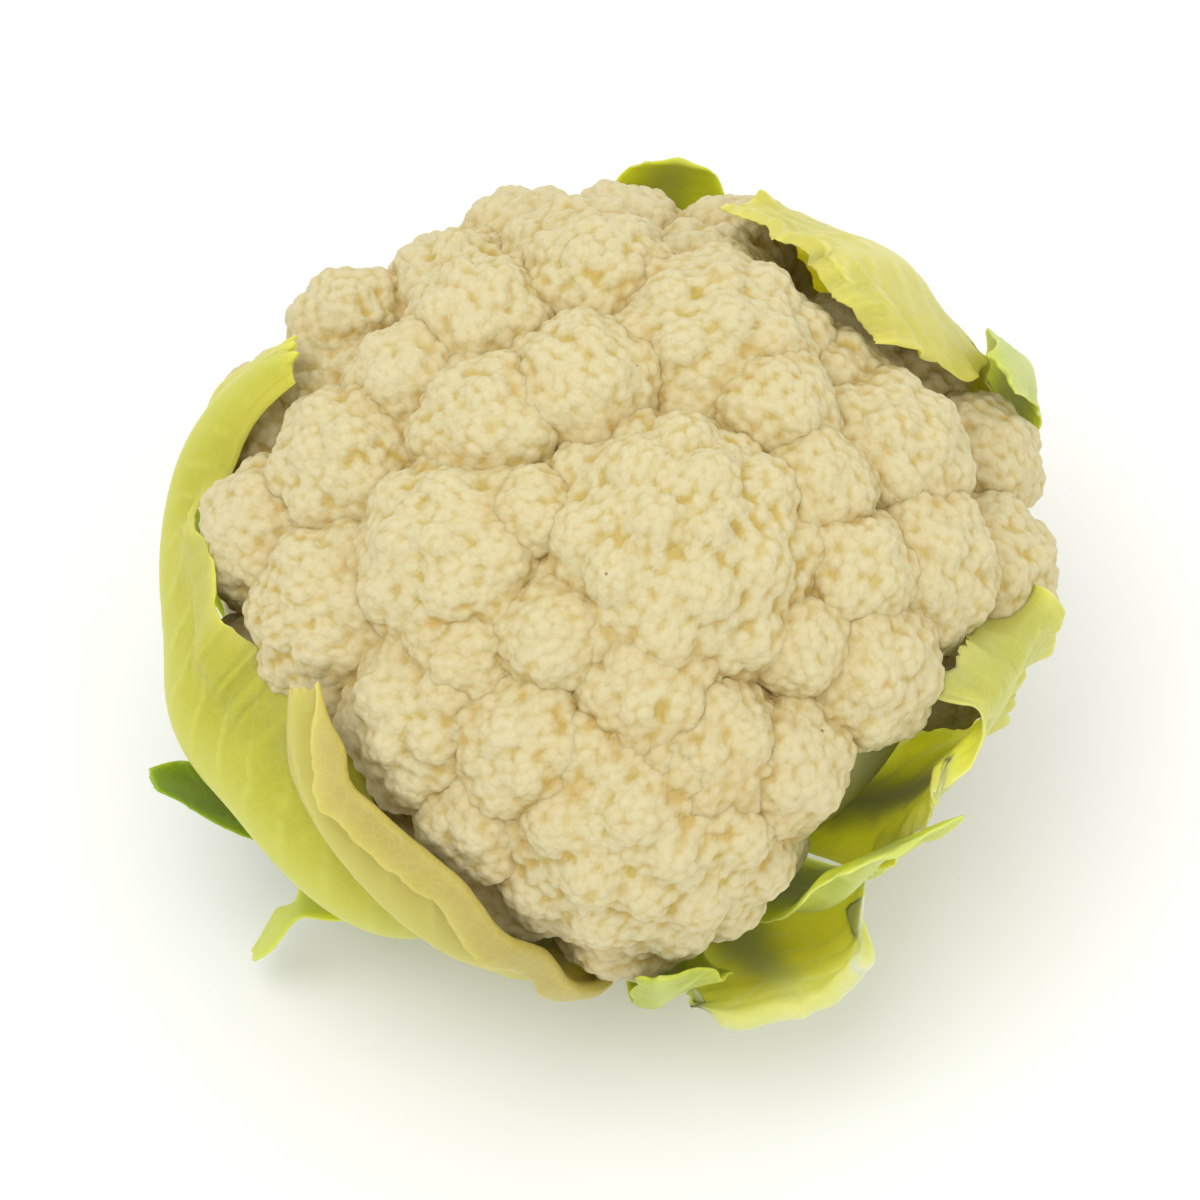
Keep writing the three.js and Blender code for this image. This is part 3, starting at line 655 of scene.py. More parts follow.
def ring_faces(rings, turns):
    """The faces of rings of points, closed at both ends by the two points that come after them."""
    grid = np.arange(rings * turns).reshape(rings, turns)
    after = np.roll(grid, -1, axis=1)
    faces = np.stack([grid[:-1], after[:-1], after[1:], grid[1:]], axis=-1).reshape(-1, 4).tolist()
    low, high = rings * turns, rings * turns + 1
    faces += [[low, int(b), int(a)] for a, b in zip(grid[0], after[0])]
    faces += [[high, int(a), int(b)] for a, b in zip(grid[-1], after[-1])]
    return faces


def new_piece(name, vertices, faces, attributes=None, smooth=True):
    """A mesh object from vertices in millimetres, with float attributes on its points."""
    mesh = bpy.data.meshes.new(name)
    mesh.from_pydata((np.asarray(vertices) * MM).tolist(), [], faces)
    for key, values in (attributes or {}).items():
        mesh.attributes.new(key, "FLOAT", "POINT").data.foreach_set("value", np.asarray(values, np.float32))
    mesh.polygons.foreach_set("use_smooth", [smooth] * len(mesh.polygons))
    mesh.validate()
    piece = bpy.data.objects.new(name, mesh)
    bpy.context.scene.collection.objects.link(piece)
    return piece


def dress(piece, material, slot, *nodes):
    """Gives a finished piece its material and its place in the part."""
    piece.data.materials.clear()
    piece.data.materials.append(material)
    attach(piece, "root")
    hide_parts(*nodes)


class CurdSettings(bpy.types.PropertyGroup):
    spacing: bpy.props.FloatProperty(
        name="Point spacing", description="Between the points of the curd's surface", default=0.73 * MM,
        unit="LENGTH", precision=5)
    bud_width: bpy.props.FloatProperty(
        name="Bud width", description="Least distance between two buds of the curd", default=3.3 * MM,
        unit="LENGTH", precision=5)
    bud_relief: bpy.props.FloatProperty(
        name="Bud relief", description="How steeply buds fall to the creases between them", default=1.5 * MM,
        unit="LENGTH", precision=5)
    mound_width: bpy.props.FloatProperty(
        name="Mound width", description="Least distance between the smallest mounds modelled",
        default=1.9 * MM, unit="LENGTH", precision=5)
    mound_relief: bpy.props.FloatProperty(
        name="Mound relief", description="How steeply they fall to their creases", default=0.3 * MM,
        unit="LENGTH", precision=5)
    hollow_steps: bpy.props.IntProperty(
        name="Hollow steps", description="Points round about that a hollow is told from", default=14)
    grain: bpy.props.FloatProperty(
        name="Grain", description="Width of one grain of the curd", default=1.7 * MM,
        unit="LENGTH", precision=5)
    lit: bpy.props.FloatVectorProperty(
        name="Curd", description="Colour of the curd where it faces out", subtype="COLOR", size=4,
        default=linear("#CFC499"), min=0, max=1)
    # Painted shade: the deeper yellow that the creases between buds and knobs take
    crease: bpy.props.FloatVectorProperty(
        name="Crease", description="Colour of the creases between buds and knobs", subtype="COLOR", size=4,
        default=linear("#C3AA5A"), min=0, max=1)
    core: bpy.props.FloatProperty(
        name="Core", description="Radius of the lump under a floret's knobs, for each unit of its ball",
        default=0.895)
    filler_spacing: bpy.props.FloatProperty(
        name="Filler spacing", description="Between the small knobs that fill the room between large ones",
        default=7.6 * MM, unit="LENGTH", precision=5)
    filler_level: bpy.props.FloatProperty(
        name="Filler level", description="How high their tops are, for each unit of the floret's ball",
        default=0.932)
    branch: bpy.props.FloatVectorProperty(
        name="Branch", description="Colour of the branches under the curd", subtype="COLOR", size=4,
        default=linear("#DDD9AE"), min=0, max=1)
    # Painted shade: the darker yellow where florets meet
    joint_shade: bpy.props.FloatVectorProperty(
        name="Joint", description="Colour where florets meet", subtype="COLOR", size=4,
        default=linear("#C2A256"), min=0, max=1)
    speck: bpy.props.FloatVectorProperty(
        name="Speck", description="Colour of browned grains", subtype="COLOR", size=4,
        default=linear("#8A6238"), min=0, max=1)
    # Painted shadow: the brown in the deep gaps between florets
    gap_shadow: bpy.props.FloatVectorProperty(
        name="Deep gap", description="Colour between florets", subtype="COLOR", size=4,
        default=linear("#B08A48"), min=0, max=1)


class LeafSettings(bpy.types.PropertyGroup):
    vein_spacing: bpy.props.FloatProperty(
        name="Vein spacing", description="Between the side veins of a leaf along its rib", default=11 * MM,
        unit="LENGTH")
    vein_relief: bpy.props.FloatProperty(
        name="Vein relief", description="How far side veins stand out of the outer face", default=0.45 * MM,
        unit="LENGTH", precision=5)
    raggedness: bpy.props.FloatProperty(
        name="Raggedness", description="Share of a half width that torn edges are cut back", default=0.09)


class StalkSettings(bpy.types.PropertyGroup):
    skin: bpy.props.FloatVectorProperty(
        name="Skin", description="Colour of the stalk's skin", subtype="COLOR", size=4,
        default=linear("#D9DDB0"), min=0, max=1)
    pith: bpy.props.FloatVectorProperty(
        name="Pith", description="Colour of the cut face", subtype="COLOR", size=4,
        default=linear("#EDE8CC"), min=0, max=1)


class StageSettings(bpy.types.PropertyGroup):
    floor: bpy.props.FloatVectorProperty(
        name="Floor", description="Colour of the floor", subtype="COLOR", size=4, default=linear("#F5F5F3"),
        min=0, max=1)
    view_width: bpy.props.FloatProperty(
        name="View width", description="What the camera takes in at the middle of the head", default=0.256,
        unit="LENGTH")


# Buds and mounds: how far from one a point may count as, in widths of it, and the tries for each one kept
FURTHEST_FROM_BUD = 0.85
TRIES_FOR_A_BUD = 9.0
MOUND_SEED = 100
# How finely the lumps under them are divided
KNOB_FINE = 3
CORE_LUMP_FINE = 4


def floret_tree():
    """Buds on knobs, and the surface that they make as seen from the floret's centre.

    It comes onto a mesh whose points are directions from the centre. The knobs are the points of another
    object, with their radii in the attribute "reach"."""
    tree, given = geometry_tree("Floret", {
        "Knobs": "Object", "Centre": "Vector", "Ball": "Float", "Core": "Float", "Seed": "Int",
        "Bud width": "Float", "Bud relief": "Float", "Mound width": "Float", "Mound relief": "Float",
        "Hollow steps": "Int"})

    def sums(operation, *values, clamp=False):
        return maths(tree, operation, *values, clamp=clamp)

    def vectors(operation, *values, out="Vector"):
        inputs = dict(enumerate(values))
        if operation == "SCALE":
            inputs = {0: values[0], "Scale": values[1]}
        return add(tree, "ShaderNodeVectorMath", inputs, operation=operation).outputs[out]

    def named(name, kind="FLOAT"):
        node = add(tree, "GeometryNodeInputNamedAttribute", {"Name": name}, data_type=kind)
        return node.outputs["Attribute"]

    def store(geometry, name, value, kind="FLOAT"):
        inputs = {"Geometry": geometry, "Name": name, "Value": value}
        return add(tree, "GeometryNodeStoreNamedAttribute", inputs, data_type=kind).outputs["Geometry"]

    def balls(points, radius, steps):
        """Round lumps at points, which remember their middle and radius."""
        place = add(tree, "GeometryNodeInputPosition").outputs[0]
        marked = store(store(points, "middle", place, "FLOAT_VECTOR"), "round", radius)
        lump = add(tree, "GeometryNodeMeshIcoSphere", {"Radius": 1.0, "Subdivisions": steps}).outputs["Mesh"]
        inputs = {"Points": marked, "Instance": lump, "Scale": named("round")}
        set_on = add(tree, "GeometryNodeInstanceOnPoints", inputs).outputs[0]
        return add(tree, "GeometryNodeRealizeInstances", {"Geometry": set_on}).outputs[0]

    def struck(cast, name, kind):
        """What a lump met by a ray remembers."""
        inputs = {**cast, "Attribute": named(name, kind)}
        node = add(tree, "GeometryNodeRaycast", inputs, data_type=kind, mapping="NEAREST")
        return node.outputs["Attribute"]

    knobs = add(tree, "GeometryNodeObjectInfo", {"Object": given["Knobs"]}).outputs["Geometry"]
    knob_lumps = balls(knobs, named("reach"), KNOB_FINE)
    middle_point = add(tree, "GeometryNodePoints", {"Count": 1, "Position": given["Centre"]}).outputs[0]
    core_lump = balls(middle_point, sums("MULTIPLY", given["Ball"], given["Core"]), CORE_LUMP_FINE)
    join = add(tree, "GeometryNodeJoinGeometry")
    for lump in (knob_lumps, core_lump):
        tree.links.new(lump, join.inputs[0])
    lumps = join.outputs[0]

    # Where a ray from outside first meets a lump, worked out exactly from the lump's middle and radius
    direction = add(tree, "GeometryNodeInputPosition").outputs[0]
    far = sums("MULTIPLY", given["Ball"], 2.0)
    start = vectors("ADD", given["Centre"], vectors("SCALE", direction, far))
    inwards = vectors("SCALE", direction, -1.0)
    cast = {"Target Geometry": lumps, "Source Position": start, "Ray Direction": inwards, "Ray Length": far}
    met = struck(cast, "middle", "FLOAT_VECTOR")
    radius = struck(cast, "round", "FLOAT")
    offset = vectors("SUBTRACT", met, given["Centre"])
    along = vectors("DOT_PRODUCT", offset, direction, out="Value")
    straight = vectors("DOT_PRODUCT", offset, offset, out="Value")
    off_axis = sums("SUBTRACT", straight, sums("MULTIPLY", along, along))
    inside = sums("MAXIMUM", sums("SUBTRACT", sums("MULTIPLY", radius, radius), off_axis), 0.0)
    reached = sums("ADD", along, sums("SQRT", inside))
    surface = vectors("ADD", given["Centre"], vectors("SCALE", direction, reached))
    sunk = sums("DIVIDE", sums("SUBTRACT", given["Ball"], reached), given["Ball"], clamp=True)
    stored = store(given["Geometry"], "sunk", sunk)
    placed = add(tree, "GeometryNodeSetPosition", {"Geometry": stored, "Position": surface}).outputs[0]

    # Buds and smaller mounds on them: low domes about points spread evenly, which touch along fine creases
    here = add(tree, "GeometryNodeInputPosition").outputs[0]
    normal = add(tree, "GeometryNodeInputNormal").outputs[0]

    def domes(geometry, key, width, relief, seed):
        """A geometry lowered the more, the further it is from the nearest of the points spread over it."""
        tries = sums("DIVIDE", TRIES_FOR_A_BUD, sums("MULTIPLY", width, width))
        points = add(tree, "GeometryNodeDistributePointsOnFaces", {
            "Mesh": geometry, "Distance Min": width, "Density Max": tries,
            "Seed": sums("ADD", given["Seed"], seed)}, distribute_method="POISSON").outputs["Points"]
        apart = add(tree, "GeometryNodeProximity", {
            0: points, "Source Position": here}, target_element="POINTS").outputs["Distance"]
        edged = store(geometry, key, sums("MINIMUM", sums("DIVIDE", apart, width), FURTHEST_FROM_BUD))
        fall = sums("MULTIPLY", sums("MULTIPLY", named(key), named(key)), relief)
        return add(tree, "GeometryNodeSetPosition", {
            "Geometry": edged, "Offset": vectors("SCALE", normal, sums("MULTIPLY", fall, -1.0))}).outputs[0]

    budded = domes(placed, "bud", given["Bud width"], given["Bud relief"], 0)
    lowered = domes(budded, "crease", given["Mound width"], given["Mound relief"], MOUND_SEED)
    around = add(tree, "GeometryNodeBlurAttribute", {
        "Value": here, "Iterations": given["Hollow steps"]}, data_type="FLOAT_VECTOR").outputs[0]
    hollow = vectors("DOT_PRODUCT", vectors("SUBTRACT", around, here), normal, out="Value")
    finish_geometry(tree, store(lowered, "hollow", sums("DIVIDE", hollow, MM)), given["Material"])
    return tree


# How far the dense part of a floret's surface reaches down from its top
DENSE_REACH = 92.0
SKIRT_RINGS = (112.0, 140.0)


def direction_mesh(axis, ball, spacing):
    """Directions over a ball, even and dense round its top, with two coarse rings and a point below it.

    They come with the faces between them."""
    area = 2 * math.pi * ball * ball * (1 - math.cos(math.radians(DENSE_REACH)))
    side = max(8, round(math.sqrt(area) / spacing))
    steps = np.linspace(-1, 1, side + 1)
    x, y = np.meshgrid(steps, steps)
    u, v = x * np.sqrt(1 - y * y / 2), y * np.sqrt(1 - x * x / 2)
    polar = np.hypot(u, v).ravel() * math.radians(DENSE_REACH)
    turn = np.arctan2(v, u).ravel()
    grid = np.arange((side + 1) ** 2).reshape(side + 1, side + 1)
    corners = [grid[:-1, :-1], grid[:-1, 1:], grid[1:, 1:], grid[1:, :-1]]
    faces = np.stack(corners, axis=-1).reshape(-1, 4).tolist()
    rim = np.concatenate([grid[0, :-1], grid[:-1, -1], grid[-1, :0:-1], grid[:0:-1, 0]])
    ring = rim
    for angle in SKIRT_RINGS:
        polar = np.append(polar, np.full(len(rim), math.radians(angle)))
        turn = np.append(turn, turn[rim])
        below = np.arange(len(polar) - len(rim), len(polar))
        faces += np.stack([ring, below, np.roll(below, -1), np.roll(ring, -1)], axis=-1).tolist()
        ring = below
    polar, turn = np.append(polar, math.pi), np.append(turn, 0)
    end = len(polar) - 1
    faces += [[int(a), end, int(b)] for a, b in zip(ring, np.roll(ring, -1))]
    side_way = unit(np.cross([0.0, 0.0, 1.0], axis))
    across = np.cross(axis, side_way)
    flat = np.cos(turn)[:, None] * side_way + np.sin(turn)[:, None] * across
    return np.cos(polar)[:, None] * axis + np.sin(polar)[:, None] * flat, faces


def region_of(floret):
    """Which part of the curd a floret is in."""
    x, y, z = floret["axis"]
    if z > 0.83:
        return "crown"
    turn = (math.degrees(math.atan2(y, x)) + 360) % 360
    for name, start, end in (("back", 45, 135), ("left", 135, 225), ("front", 225, 315)):
        if start <= turn < end:
            return name
    return "right"


# How much painted shade, a deeper yellow, each mark puts into the creases: from where on, up to where, and how
# much of it at most
CREASE_SHADE = {"crease": (0.45, 0.75, 0.18), "bud": (0.48, 0.75, 0.6), "hollow": (0.14, 0.8, 0.5)}
BLOTCH_WIDTH = 24.0
SPECK_SPACING = 17.0
PORE_WIDTH = 0.5


def curd_flesh(settings):
    """Raw cauliflower curd, grown and uncut: matt, waxy and slightly clear, of fine grains, with painted shade
    in its creases and where florets meet, and painted shadow in the gaps between florets.
    """
    material, tree, place = new_material("raw_curd_flesh")
    blotch = noise(tree, place, BLOTCH_WIDTH, 3.0)
    grain = cells(tree, place, settings.grain / MM)
    grain = maths(tree, "MULTIPLY", grain, grain, clamp=True)

    # Painted shade: creases of three sizes take up the deeper yellow, more of it in some places than in others
    crease_shade = ramp(tree, grain, 0.25, 0.8, 0.0, 0.22)
    for key, (low, high, most) in CREASE_SHADE.items():
        crease_shade = maths(tree, "ADD", crease_shade, ramp(tree, mark(tree, key), low, high, 0.0, most), clamp=True)
    crease_shade = maths(tree, "MULTIPLY", crease_shade, ramp(tree, blotch, 0.3, 0.7, 0.6, 1.15), clamp=True)
    # Painted shade: a deeper yellow the further a point is sunk under its floret's ball
    sunk = ramp(tree, mark(tree, "sunk"), 0.06, 0.3, 0.0, 0.25)
    crease_and_sink_shade = maths(tree, "ADD", crease_shade, sunk, clamp=True)
    flesh = mix(tree, crease_and_sink_shade, tuple(settings.lit), tuple(settings.crease))

    # Painted shade where florets meet, by how far a point lies under its neighbours, and painted shadow in the
    # dark gaps between them
    near = ramp(tree, mark(tree, "gap_shadow"), -4.5, 2.0, 0.0, 0.6)
    hollow = ramp(tree, mark(tree, "hollow"), -0.3, 0.3, 0.35, 1.0)
    with_joint_shade = mix(tree, maths(tree, "MULTIPLY", near, hollow, clamp=True), flesh, tuple(settings.joint_shade))
    shaded = mix(tree, ramp(tree, mark(tree, "gap_shadow"), 2.0, 14.0, 0.0, 1.0), with_joint_shade, tuple(settings.gap_shadow))

    # A few specks of browned grains
    speck = ramp(tree, cells(tree, place, SPECK_SPACING), 0.018, 0.03, 0.8, 0.0)
    freckled = mix(tree, speck, shaded, tuple(settings.speck))

    pores = bump(tree, noise(tree, place, PORE_WIDTH), 0.2, 0.12)
    grains = bump(tree, grain, 0.8, 0.4, pores, invert=True)
    finish_material(tree, {
        "Base Color": freckled, "Roughness": 0.6, "IOR": 1.4, "Subsurface Weight": 0.2,
        "Subsurface Radius": (1.0, 0.7, 0.35), "Subsurface Scale": 2.2 * MM, "Normal": grains})
    return material


# The small knobs: their radius for each unit of their spacing, and how far that and their level vary
FILLER_SHARE = 0.82
FILLER_SPREAD = 0.12
LEVEL_SPREAD = 0.015


def filler_knobs(floret, settings):
    """The centres and radii of small knobs that fill the room between a floret's knobs, a little lower."""
    side = unit(np.cross([0.0, 0.0, 1.0], floret["axis"]))
    across = np.cross(floret["axis"], side)
    reach = math.radians(DENSE_REACH)
    cap = 2 * math.pi * floret["ball"] ** 2 * (1 - math.cos(reach))
    spacing = settings.filler_spacing / MM
    count = max(3 * FEWEST_KNOBS, round(cap * PACKING / spacing**2))
    i = np.arange(count)
    share = np.sqrt((i + 0.5) / count)
    polar = np.arccos(1 - (1 - math.cos(reach)) * share**2)
    turn = np.radians(floret["index"] * 2 * EYE_TURN + i * GOLDEN_TURN)
    flat = np.cos(turn)[:, None] * side + np.sin(turn)[:, None] * across
    out = np.cos(polar)[:, None] * floret["axis"] + np.sin(polar)[:, None] * flat
    radii = spacing * (FILLER_SHARE + FILLER_SPREAD * np.sin(i * 2.3 + floret["index"]))
    tops = floret["ball"] * settings.filler_level * (1 + LEVEL_SPREAD * np.sin(i * 4.1 + floret["index"]))
    return floret["centre"] + out * (tops - radii)[:, None], radii


def deep_under(points, owner):
    """How far points of each floret lie under the balls of the others, in millimetres, below 0 over them."""
    directions = unit(points)
    distance = np.linalg.norm(points, axis=1)
    table = leaves_ball(directions, *balls_of(FLORETS))
    table[np.arange(len(points)), owner] = 0
    return np.clip(table.max(axis=1) - distance, -20, 60)


# What the floret tree marks on each point of the curd
CURD_MARKS = ("bud", "crease", "hollow", "sunk")


class CAULIFLOWER_OT_curd(bpy.types.Operator):
    """Make the curd, floret by floret"""

    bl_idname = "cauliflower.curd"
    bl_label = "Curd"

    def execute(self, context):
        settings = context.scene.cauliflower_curd
        material = curd_flesh(settings)
        tree = floret_tree()
        regions = {}
        for floret in FLORETS:
            centres, radii = knobs_of(floret)
            between, small = filler_knobs(floret, settings)
            centres, radii = np.concatenate([centres, between]), np.concatenate([radii, small])
            knobs = new_piece("knobs", centres, [], {"reach": radii * MM})
            directions, faces = direction_mesh(floret["axis"], floret["ball"], settings.spacing / MM)
            shell = new_piece("floret", directions / MM, faces)
            mesh = grown(context, shell, tree, {
                "Knobs": knobs, "Centre": (floret["centre"] * MM).tolist(), "Ball": floret["ball"] * MM,
                "Core": settings.core, "Seed": floret["index"], "Bud width": settings.bud_width,
                "Bud relief": settings.bud_relief, "Mound width": settings.mound_width,
                "Mound relief": settings.mound_relief, "Hollow steps": settings.hollow_steps,
                "Material": material})
            points = np.empty(len(mesh.vertices) * 3)
            mesh.vertices.foreach_get("co", points)
            marks = {key: np.empty(len(mesh.vertices)) for key in CURD_MARKS}
            for key, values in marks.items():
                mesh.attributes[key].data.foreach_get("value", values)
            regions.setdefault(region_of(floret), []).append(
                (points.reshape(-1, 3) / MM, faces, marks, floret["index"]))
            for item in (shell, knobs):
                data = item.data
                bpy.data.objects.remove(item)
                bpy.data.meshes.remove(data)
            bpy.data.meshes.remove(mesh)
        for name, parts in regions.items():
            points = np.concatenate([part[0] for part in parts])
            starts = np.cumsum([0] + [len(part[0]) for part in parts])
            faces = [[i + int(start) for i in face] for start, part in zip(starts, parts)
                     for face in part[1]]
            owner = np.concatenate([np.full(len(part[0]), part[3]) for part in parts])
            attributes = {key: np.concatenate([part[2][key] for part in parts]) for key in CURD_MARKS}
            # How far each point lies under the other florets, for the painted shade and shadow between them
            attributes["gap_shadow"] = deep_under(points, owner)
            piece = new_piece("curd_" + name, points + MIDDLE, faces, attributes)
            dress(piece, material, "curd", "curd")
        return {"FINISHED"}


def branch_tree():
    """Round branches along the edges of a mesh, as thick as its attribute "girth" says."""
    tree, given = geometry_tree("Branches", {"Sides": "Int", "Steps": "Int"})
    curves = add(tree, "GeometryNodeMeshToCurve", {"Mesh": given["Geometry"]}).outputs[0]
    bent = add(tree, "GeometryNodeCurveSplineType", {"Curve": curves}, spline_type="CATMULL_ROM").outputs[0]
    inputs = {"Curve": bent, "Count": given["Steps"]}
    even = add(tree, "GeometryNodeResampleCurve", inputs, mode="COUNT").outputs[0]
    inputs = {"Resolution": given["Sides"], "Radius": 1.0}
    ring = add(tree, "GeometryNodeCurvePrimitiveCircle", inputs).outputs[0]
    girth = add(tree, "GeometryNodeInputNamedAttribute", {"Name": "girth"}, data_type="FLOAT")
    inputs = {"Curve": even, "Profile Curve": ring, "Scale": girth.outputs["Attribute"], "Fill Caps": True}
    tubes = add(tree, "GeometryNodeCurveToMesh", inputs).outputs[0]
    finish_geometry(tree, tubes, given["Material"])
    return tree


STEM_BLOTCH = 18.0


def stem_flesh(name, skin, scale_mm, pith=None):
    """Raw stem of a brassica, grown: smooth waxy skin over fibres that run along it, moist where cut."""
    material, tree, place = new_material(name)
    drawn = add(tree, "ShaderNodeMapping", {"Vector": place, "Scale": (1.0, 1.0, 0.25)}).outputs[0]
    r, g, b, _ = skin
    tone = add(tree, "ShaderNodeValToRGB", {"Fac": noise(tree, place, STEM_BLOTCH)})
    dark, pale = tone.color_ramp.elements
    dark.position, pale.position = 0.3, 0.7
    dark.color, pale.color = (r * 0.82, g * 0.86, b * 0.7, 1), skin
    colour = tone.outputs[0]
    if pith:
        # A pale cut face with a ring of fibres inside its rim
        spotted = maths(tree, "MULTIPLY", mark(tree, "ring"), cells(tree, place, FIBRE_WIDTH))
        colour = mix(tree, mark(tree, "cut"), colour, mix(tree, spotted, pith, skin))
    fibres = bump(tree, noise(tree, drawn, scale_mm, 4.0), 0.4, 0.3)
    finish_material(tree, {"Base Color": colour, "Roughness": 0.5, "IOR": 1.4, "Normal": fibres})
    return material


# The branches under the curd
BRANCH_SIDES = 14
BRANCH_STEPS = 12
BRANCH_GIRTH = 0.4  # of a branch where it enters its floret, for each unit of the floret's ball
BRANCH_TAPER = (0.8, 0.85, 0.85, 0.9, 1.0)
# Where a branch starts and bends, for each unit of the foot's radius and in millimetres over the foot
BRANCH_START = (0.45, 6)
BRANCH_BEND = (0.9, 13)
CORE_FINE = (96, 64)


class CAULIFLOWER_OT_branches(bpy.types.Operator):
    """Make the branches that carry the florets and the flesh where they gather"""

    bl_idname = "cauliflower.branches"
    bl_label = "Branches"

    def execute(self, context):
        material = stem_flesh("raw_branch_flesh", tuple(context.scene.cauliflower_curd.branch), 1.6)
        points, edges, girths = [], [], []
        for floret in FLORETS:
            end = floret["centre"] + MIDDLE
            flat = unit(np.array([end[0], end[1], 0]))
            start, bend = (flat * FOOT_RADIUS * out + [0, 0, FOOT_LEVEL + rise]
                           for out, rise in (BRANCH_START, BRANCH_BEND))
            route = [start, (start + bend) / 2, bend, bend * 0.45 + end * 0.55, end]
            thick = floret["ball"] * BRANCH_GIRTH
            edges += [[len(points) + i, len(points) + i + 1] for i in range(len(route) - 1)]
            points += route
            girths += [thick * share * MM for share in BRANCH_TAPER]
        mesh = bpy.data.meshes.new("branch_paths")
        mesh.from_pydata((np.array(points) * MM).tolist(), edges, [])
        girth = mesh.attributes.new("girth", "FLOAT", "POINT")
        girth.data.foreach_set("value", np.array(girths, np.float32))
        paths = bpy.data.objects.new("branch_paths", mesh)
        context.scene.collection.objects.link(paths)
        tubes = grown(context, paths, branch_tree(), {
            "Sides": BRANCH_SIDES, "Steps": BRANCH_STEPS, "Material": material})
        tubes.name = "curd_branches"
        bpy.data.objects.remove(paths)
        piece = bpy.data.objects.new("curd_branches", tubes)
        context.scene.collection.objects.link(piece)
        dress(piece, material, "curd", "curd")
        turns, lifts = CORE_FINE
        rises = np.linspace(-math.pi / 2, math.pi / 2, lifts + 1)[1:-1]
        lift, turn = np.meshgrid(rises, np.arange(turns) * 2 * math.pi / turns, indexing="ij")
        ways = np.stack([np.cos(lift) * np.cos(turn), np.cos(lift) * np.sin(turn), np.sin(lift)], axis=-1)
        ways = np.concatenate([ways.reshape(-1, 3), [[0, 0, -1], [0, 0, 1]]])
        core = ways * body_along(ways)[:, None] * CORE_INSET
        core[:, 2] = np.maximum(core[:, 2], FOOT_LEVEL - WIDEST_LEVEL)
        piece = new_piece("curd_core", core + MIDDLE, ring_faces(lifts - 1, turns))
        dress(piece, material, "curd", "curd")
        return {"FINISHED"}


# The ring of fibres in the stalk's cut face
FIBRE_WIDTH = 1.4
FIBRE_RING = 17.0
FIBRE_SPREAD = 1.6
# The stalk's finished mesh, and how far its skin is fluted, rough and set in from the CAD solid
STALK_TURNS = 160
STALK_RINGS = 40
CUT_RINGS = 26
TOP_RINGS = 6
FLUTES = (0.5, 0.35)
SKIN_ROUGH = 0.18
SKIN_INSET = 0.9


class CAULIFLOWER_OT_stalk(bpy.types.Operator):
    """Make the stalk with its cut face"""

    bl_idname = "cauliflower.stalk"
    bl_label = "Stalk"

    def execute(self, context):
        settings = context.scene.cauliflower_stalk
        top = FOOT_LEVEL - NODE_GAP
        levels = STALK_BEVEL + (top - STALK_BEVEL) * np.linspace(0, 1, STALK_RINGS)
        cut = np.linspace(0, 1, CUT_RINGS)[1:] * (STALK_RADIUS - STALK_BEVEL)
        lid = np.linspace(STALK_WAIST, 0, TOP_RINGS + 2)[1:-1]
        radii = np.concatenate([cut, stalk_radius(levels), lid])
        heights = np.concatenate([np.zeros(len(cut)), levels, np.full(TOP_RINGS, top)])
        turn = np.arange(STALK_TURNS) * 2 * math.pi / STALK_TURNS
        on_cut = (heights == 0)[:, None]
        flutes = FLUTES[0] * uneven(turn * 3, 3) + FLUTES[1] * uneven(turn * 9, 4)
        rough = SKIN_ROUGH * uneven(heights[:, None] * 0.6 + turn * 5, 5)
        flat = on_cut | (heights == top)[:, None]
        wide = radii[:, None] + np.where(flat, 0, flutes + rough - SKIN_INSET)
        up = np.repeat(heights[:, None], STALK_TURNS, 1)
        points = np.stack([wide * np.cos(turn), wide * np.sin(turn), up], -1)
        points = np.concatenate([points.reshape(-1, 3), [[0, 0, 0], [0, 0, top]]])
        fibres = np.exp(-((radii - FIBRE_RING) / FIBRE_SPREAD) ** 2)
        marks = {"cut": np.append(np.repeat(on_cut[:, 0], STALK_TURNS), [1, 0]),
                 "ring": np.append(np.repeat(fibres, STALK_TURNS), [0, 0])}
        piece = new_piece("stalk_with_cut", points, ring_faces(len(radii), STALK_TURNS), marks)
        material = stem_flesh("cut_stalk", tuple(settings.skin), 2.0, tuple(settings.pith))
        dress(piece, material, "stalk", "stalk")
        return {"FINISHED"}


# A leaf's mottling, the net of its finest veins and its skin
MOTTLE_WIDTH = 9.0
MOTTLE = (0.78, 0.84, 0.5, 1)
NET_WIDTH = 2.6
SKIN_WIDTH = 1.2


def waxy_leaf(name, colours):
    """Raw brassica leaf, grown: waxy satin skin, pale over ribs and veins, and a blade that lets light in."""
    rib, blade, edge, inside = (linear(colour) for colour in colours)
    material, tree, place = new_material("waxy_" + name)
    netted = ramp(tree, cells(tree, place, NET_WIDTH, "DISTANCE_TO_EDGE"), 0.0, 0.1, 0.3, 0.0)
    lines = maths(tree, "MAXIMUM", mark(tree, "vein"), netted)
    # The inner face's colour, brightened in some leaves as painted light
    faced = mix(tree, mark(tree, "inside"), blade, inside)
    edged = mix(tree, mark(tree, "rim"), faced, edge)
    mottling = ramp(tree, noise(tree, place, MOTTLE_WIDTH, 4.0), 0.4, 0.75, 0.0, 0.5)
    lined = mix(tree, lines, mix(tree, mottling, edged, MOTTLE, "MULTIPLY"), rib)
    flesh = mix(tree, mark(tree, "ribbed"), lined, rib)
    rough = bump(tree, noise(tree, place, SKIN_WIDTH, 3.0), 0.25, 0.2)
    finish_material(tree, {
        "Base Color": flesh, "Roughness": 0.42, "IOR": 1.42, "Subsurface Weight": 0.9,
        "Subsurface Radius": (1.0, 1.0, 0.35), "Subsurface Scale": 4.0 * MM,
        "Normal": bump(tree, netted, 0.5, 0.25, rough)})
    return material


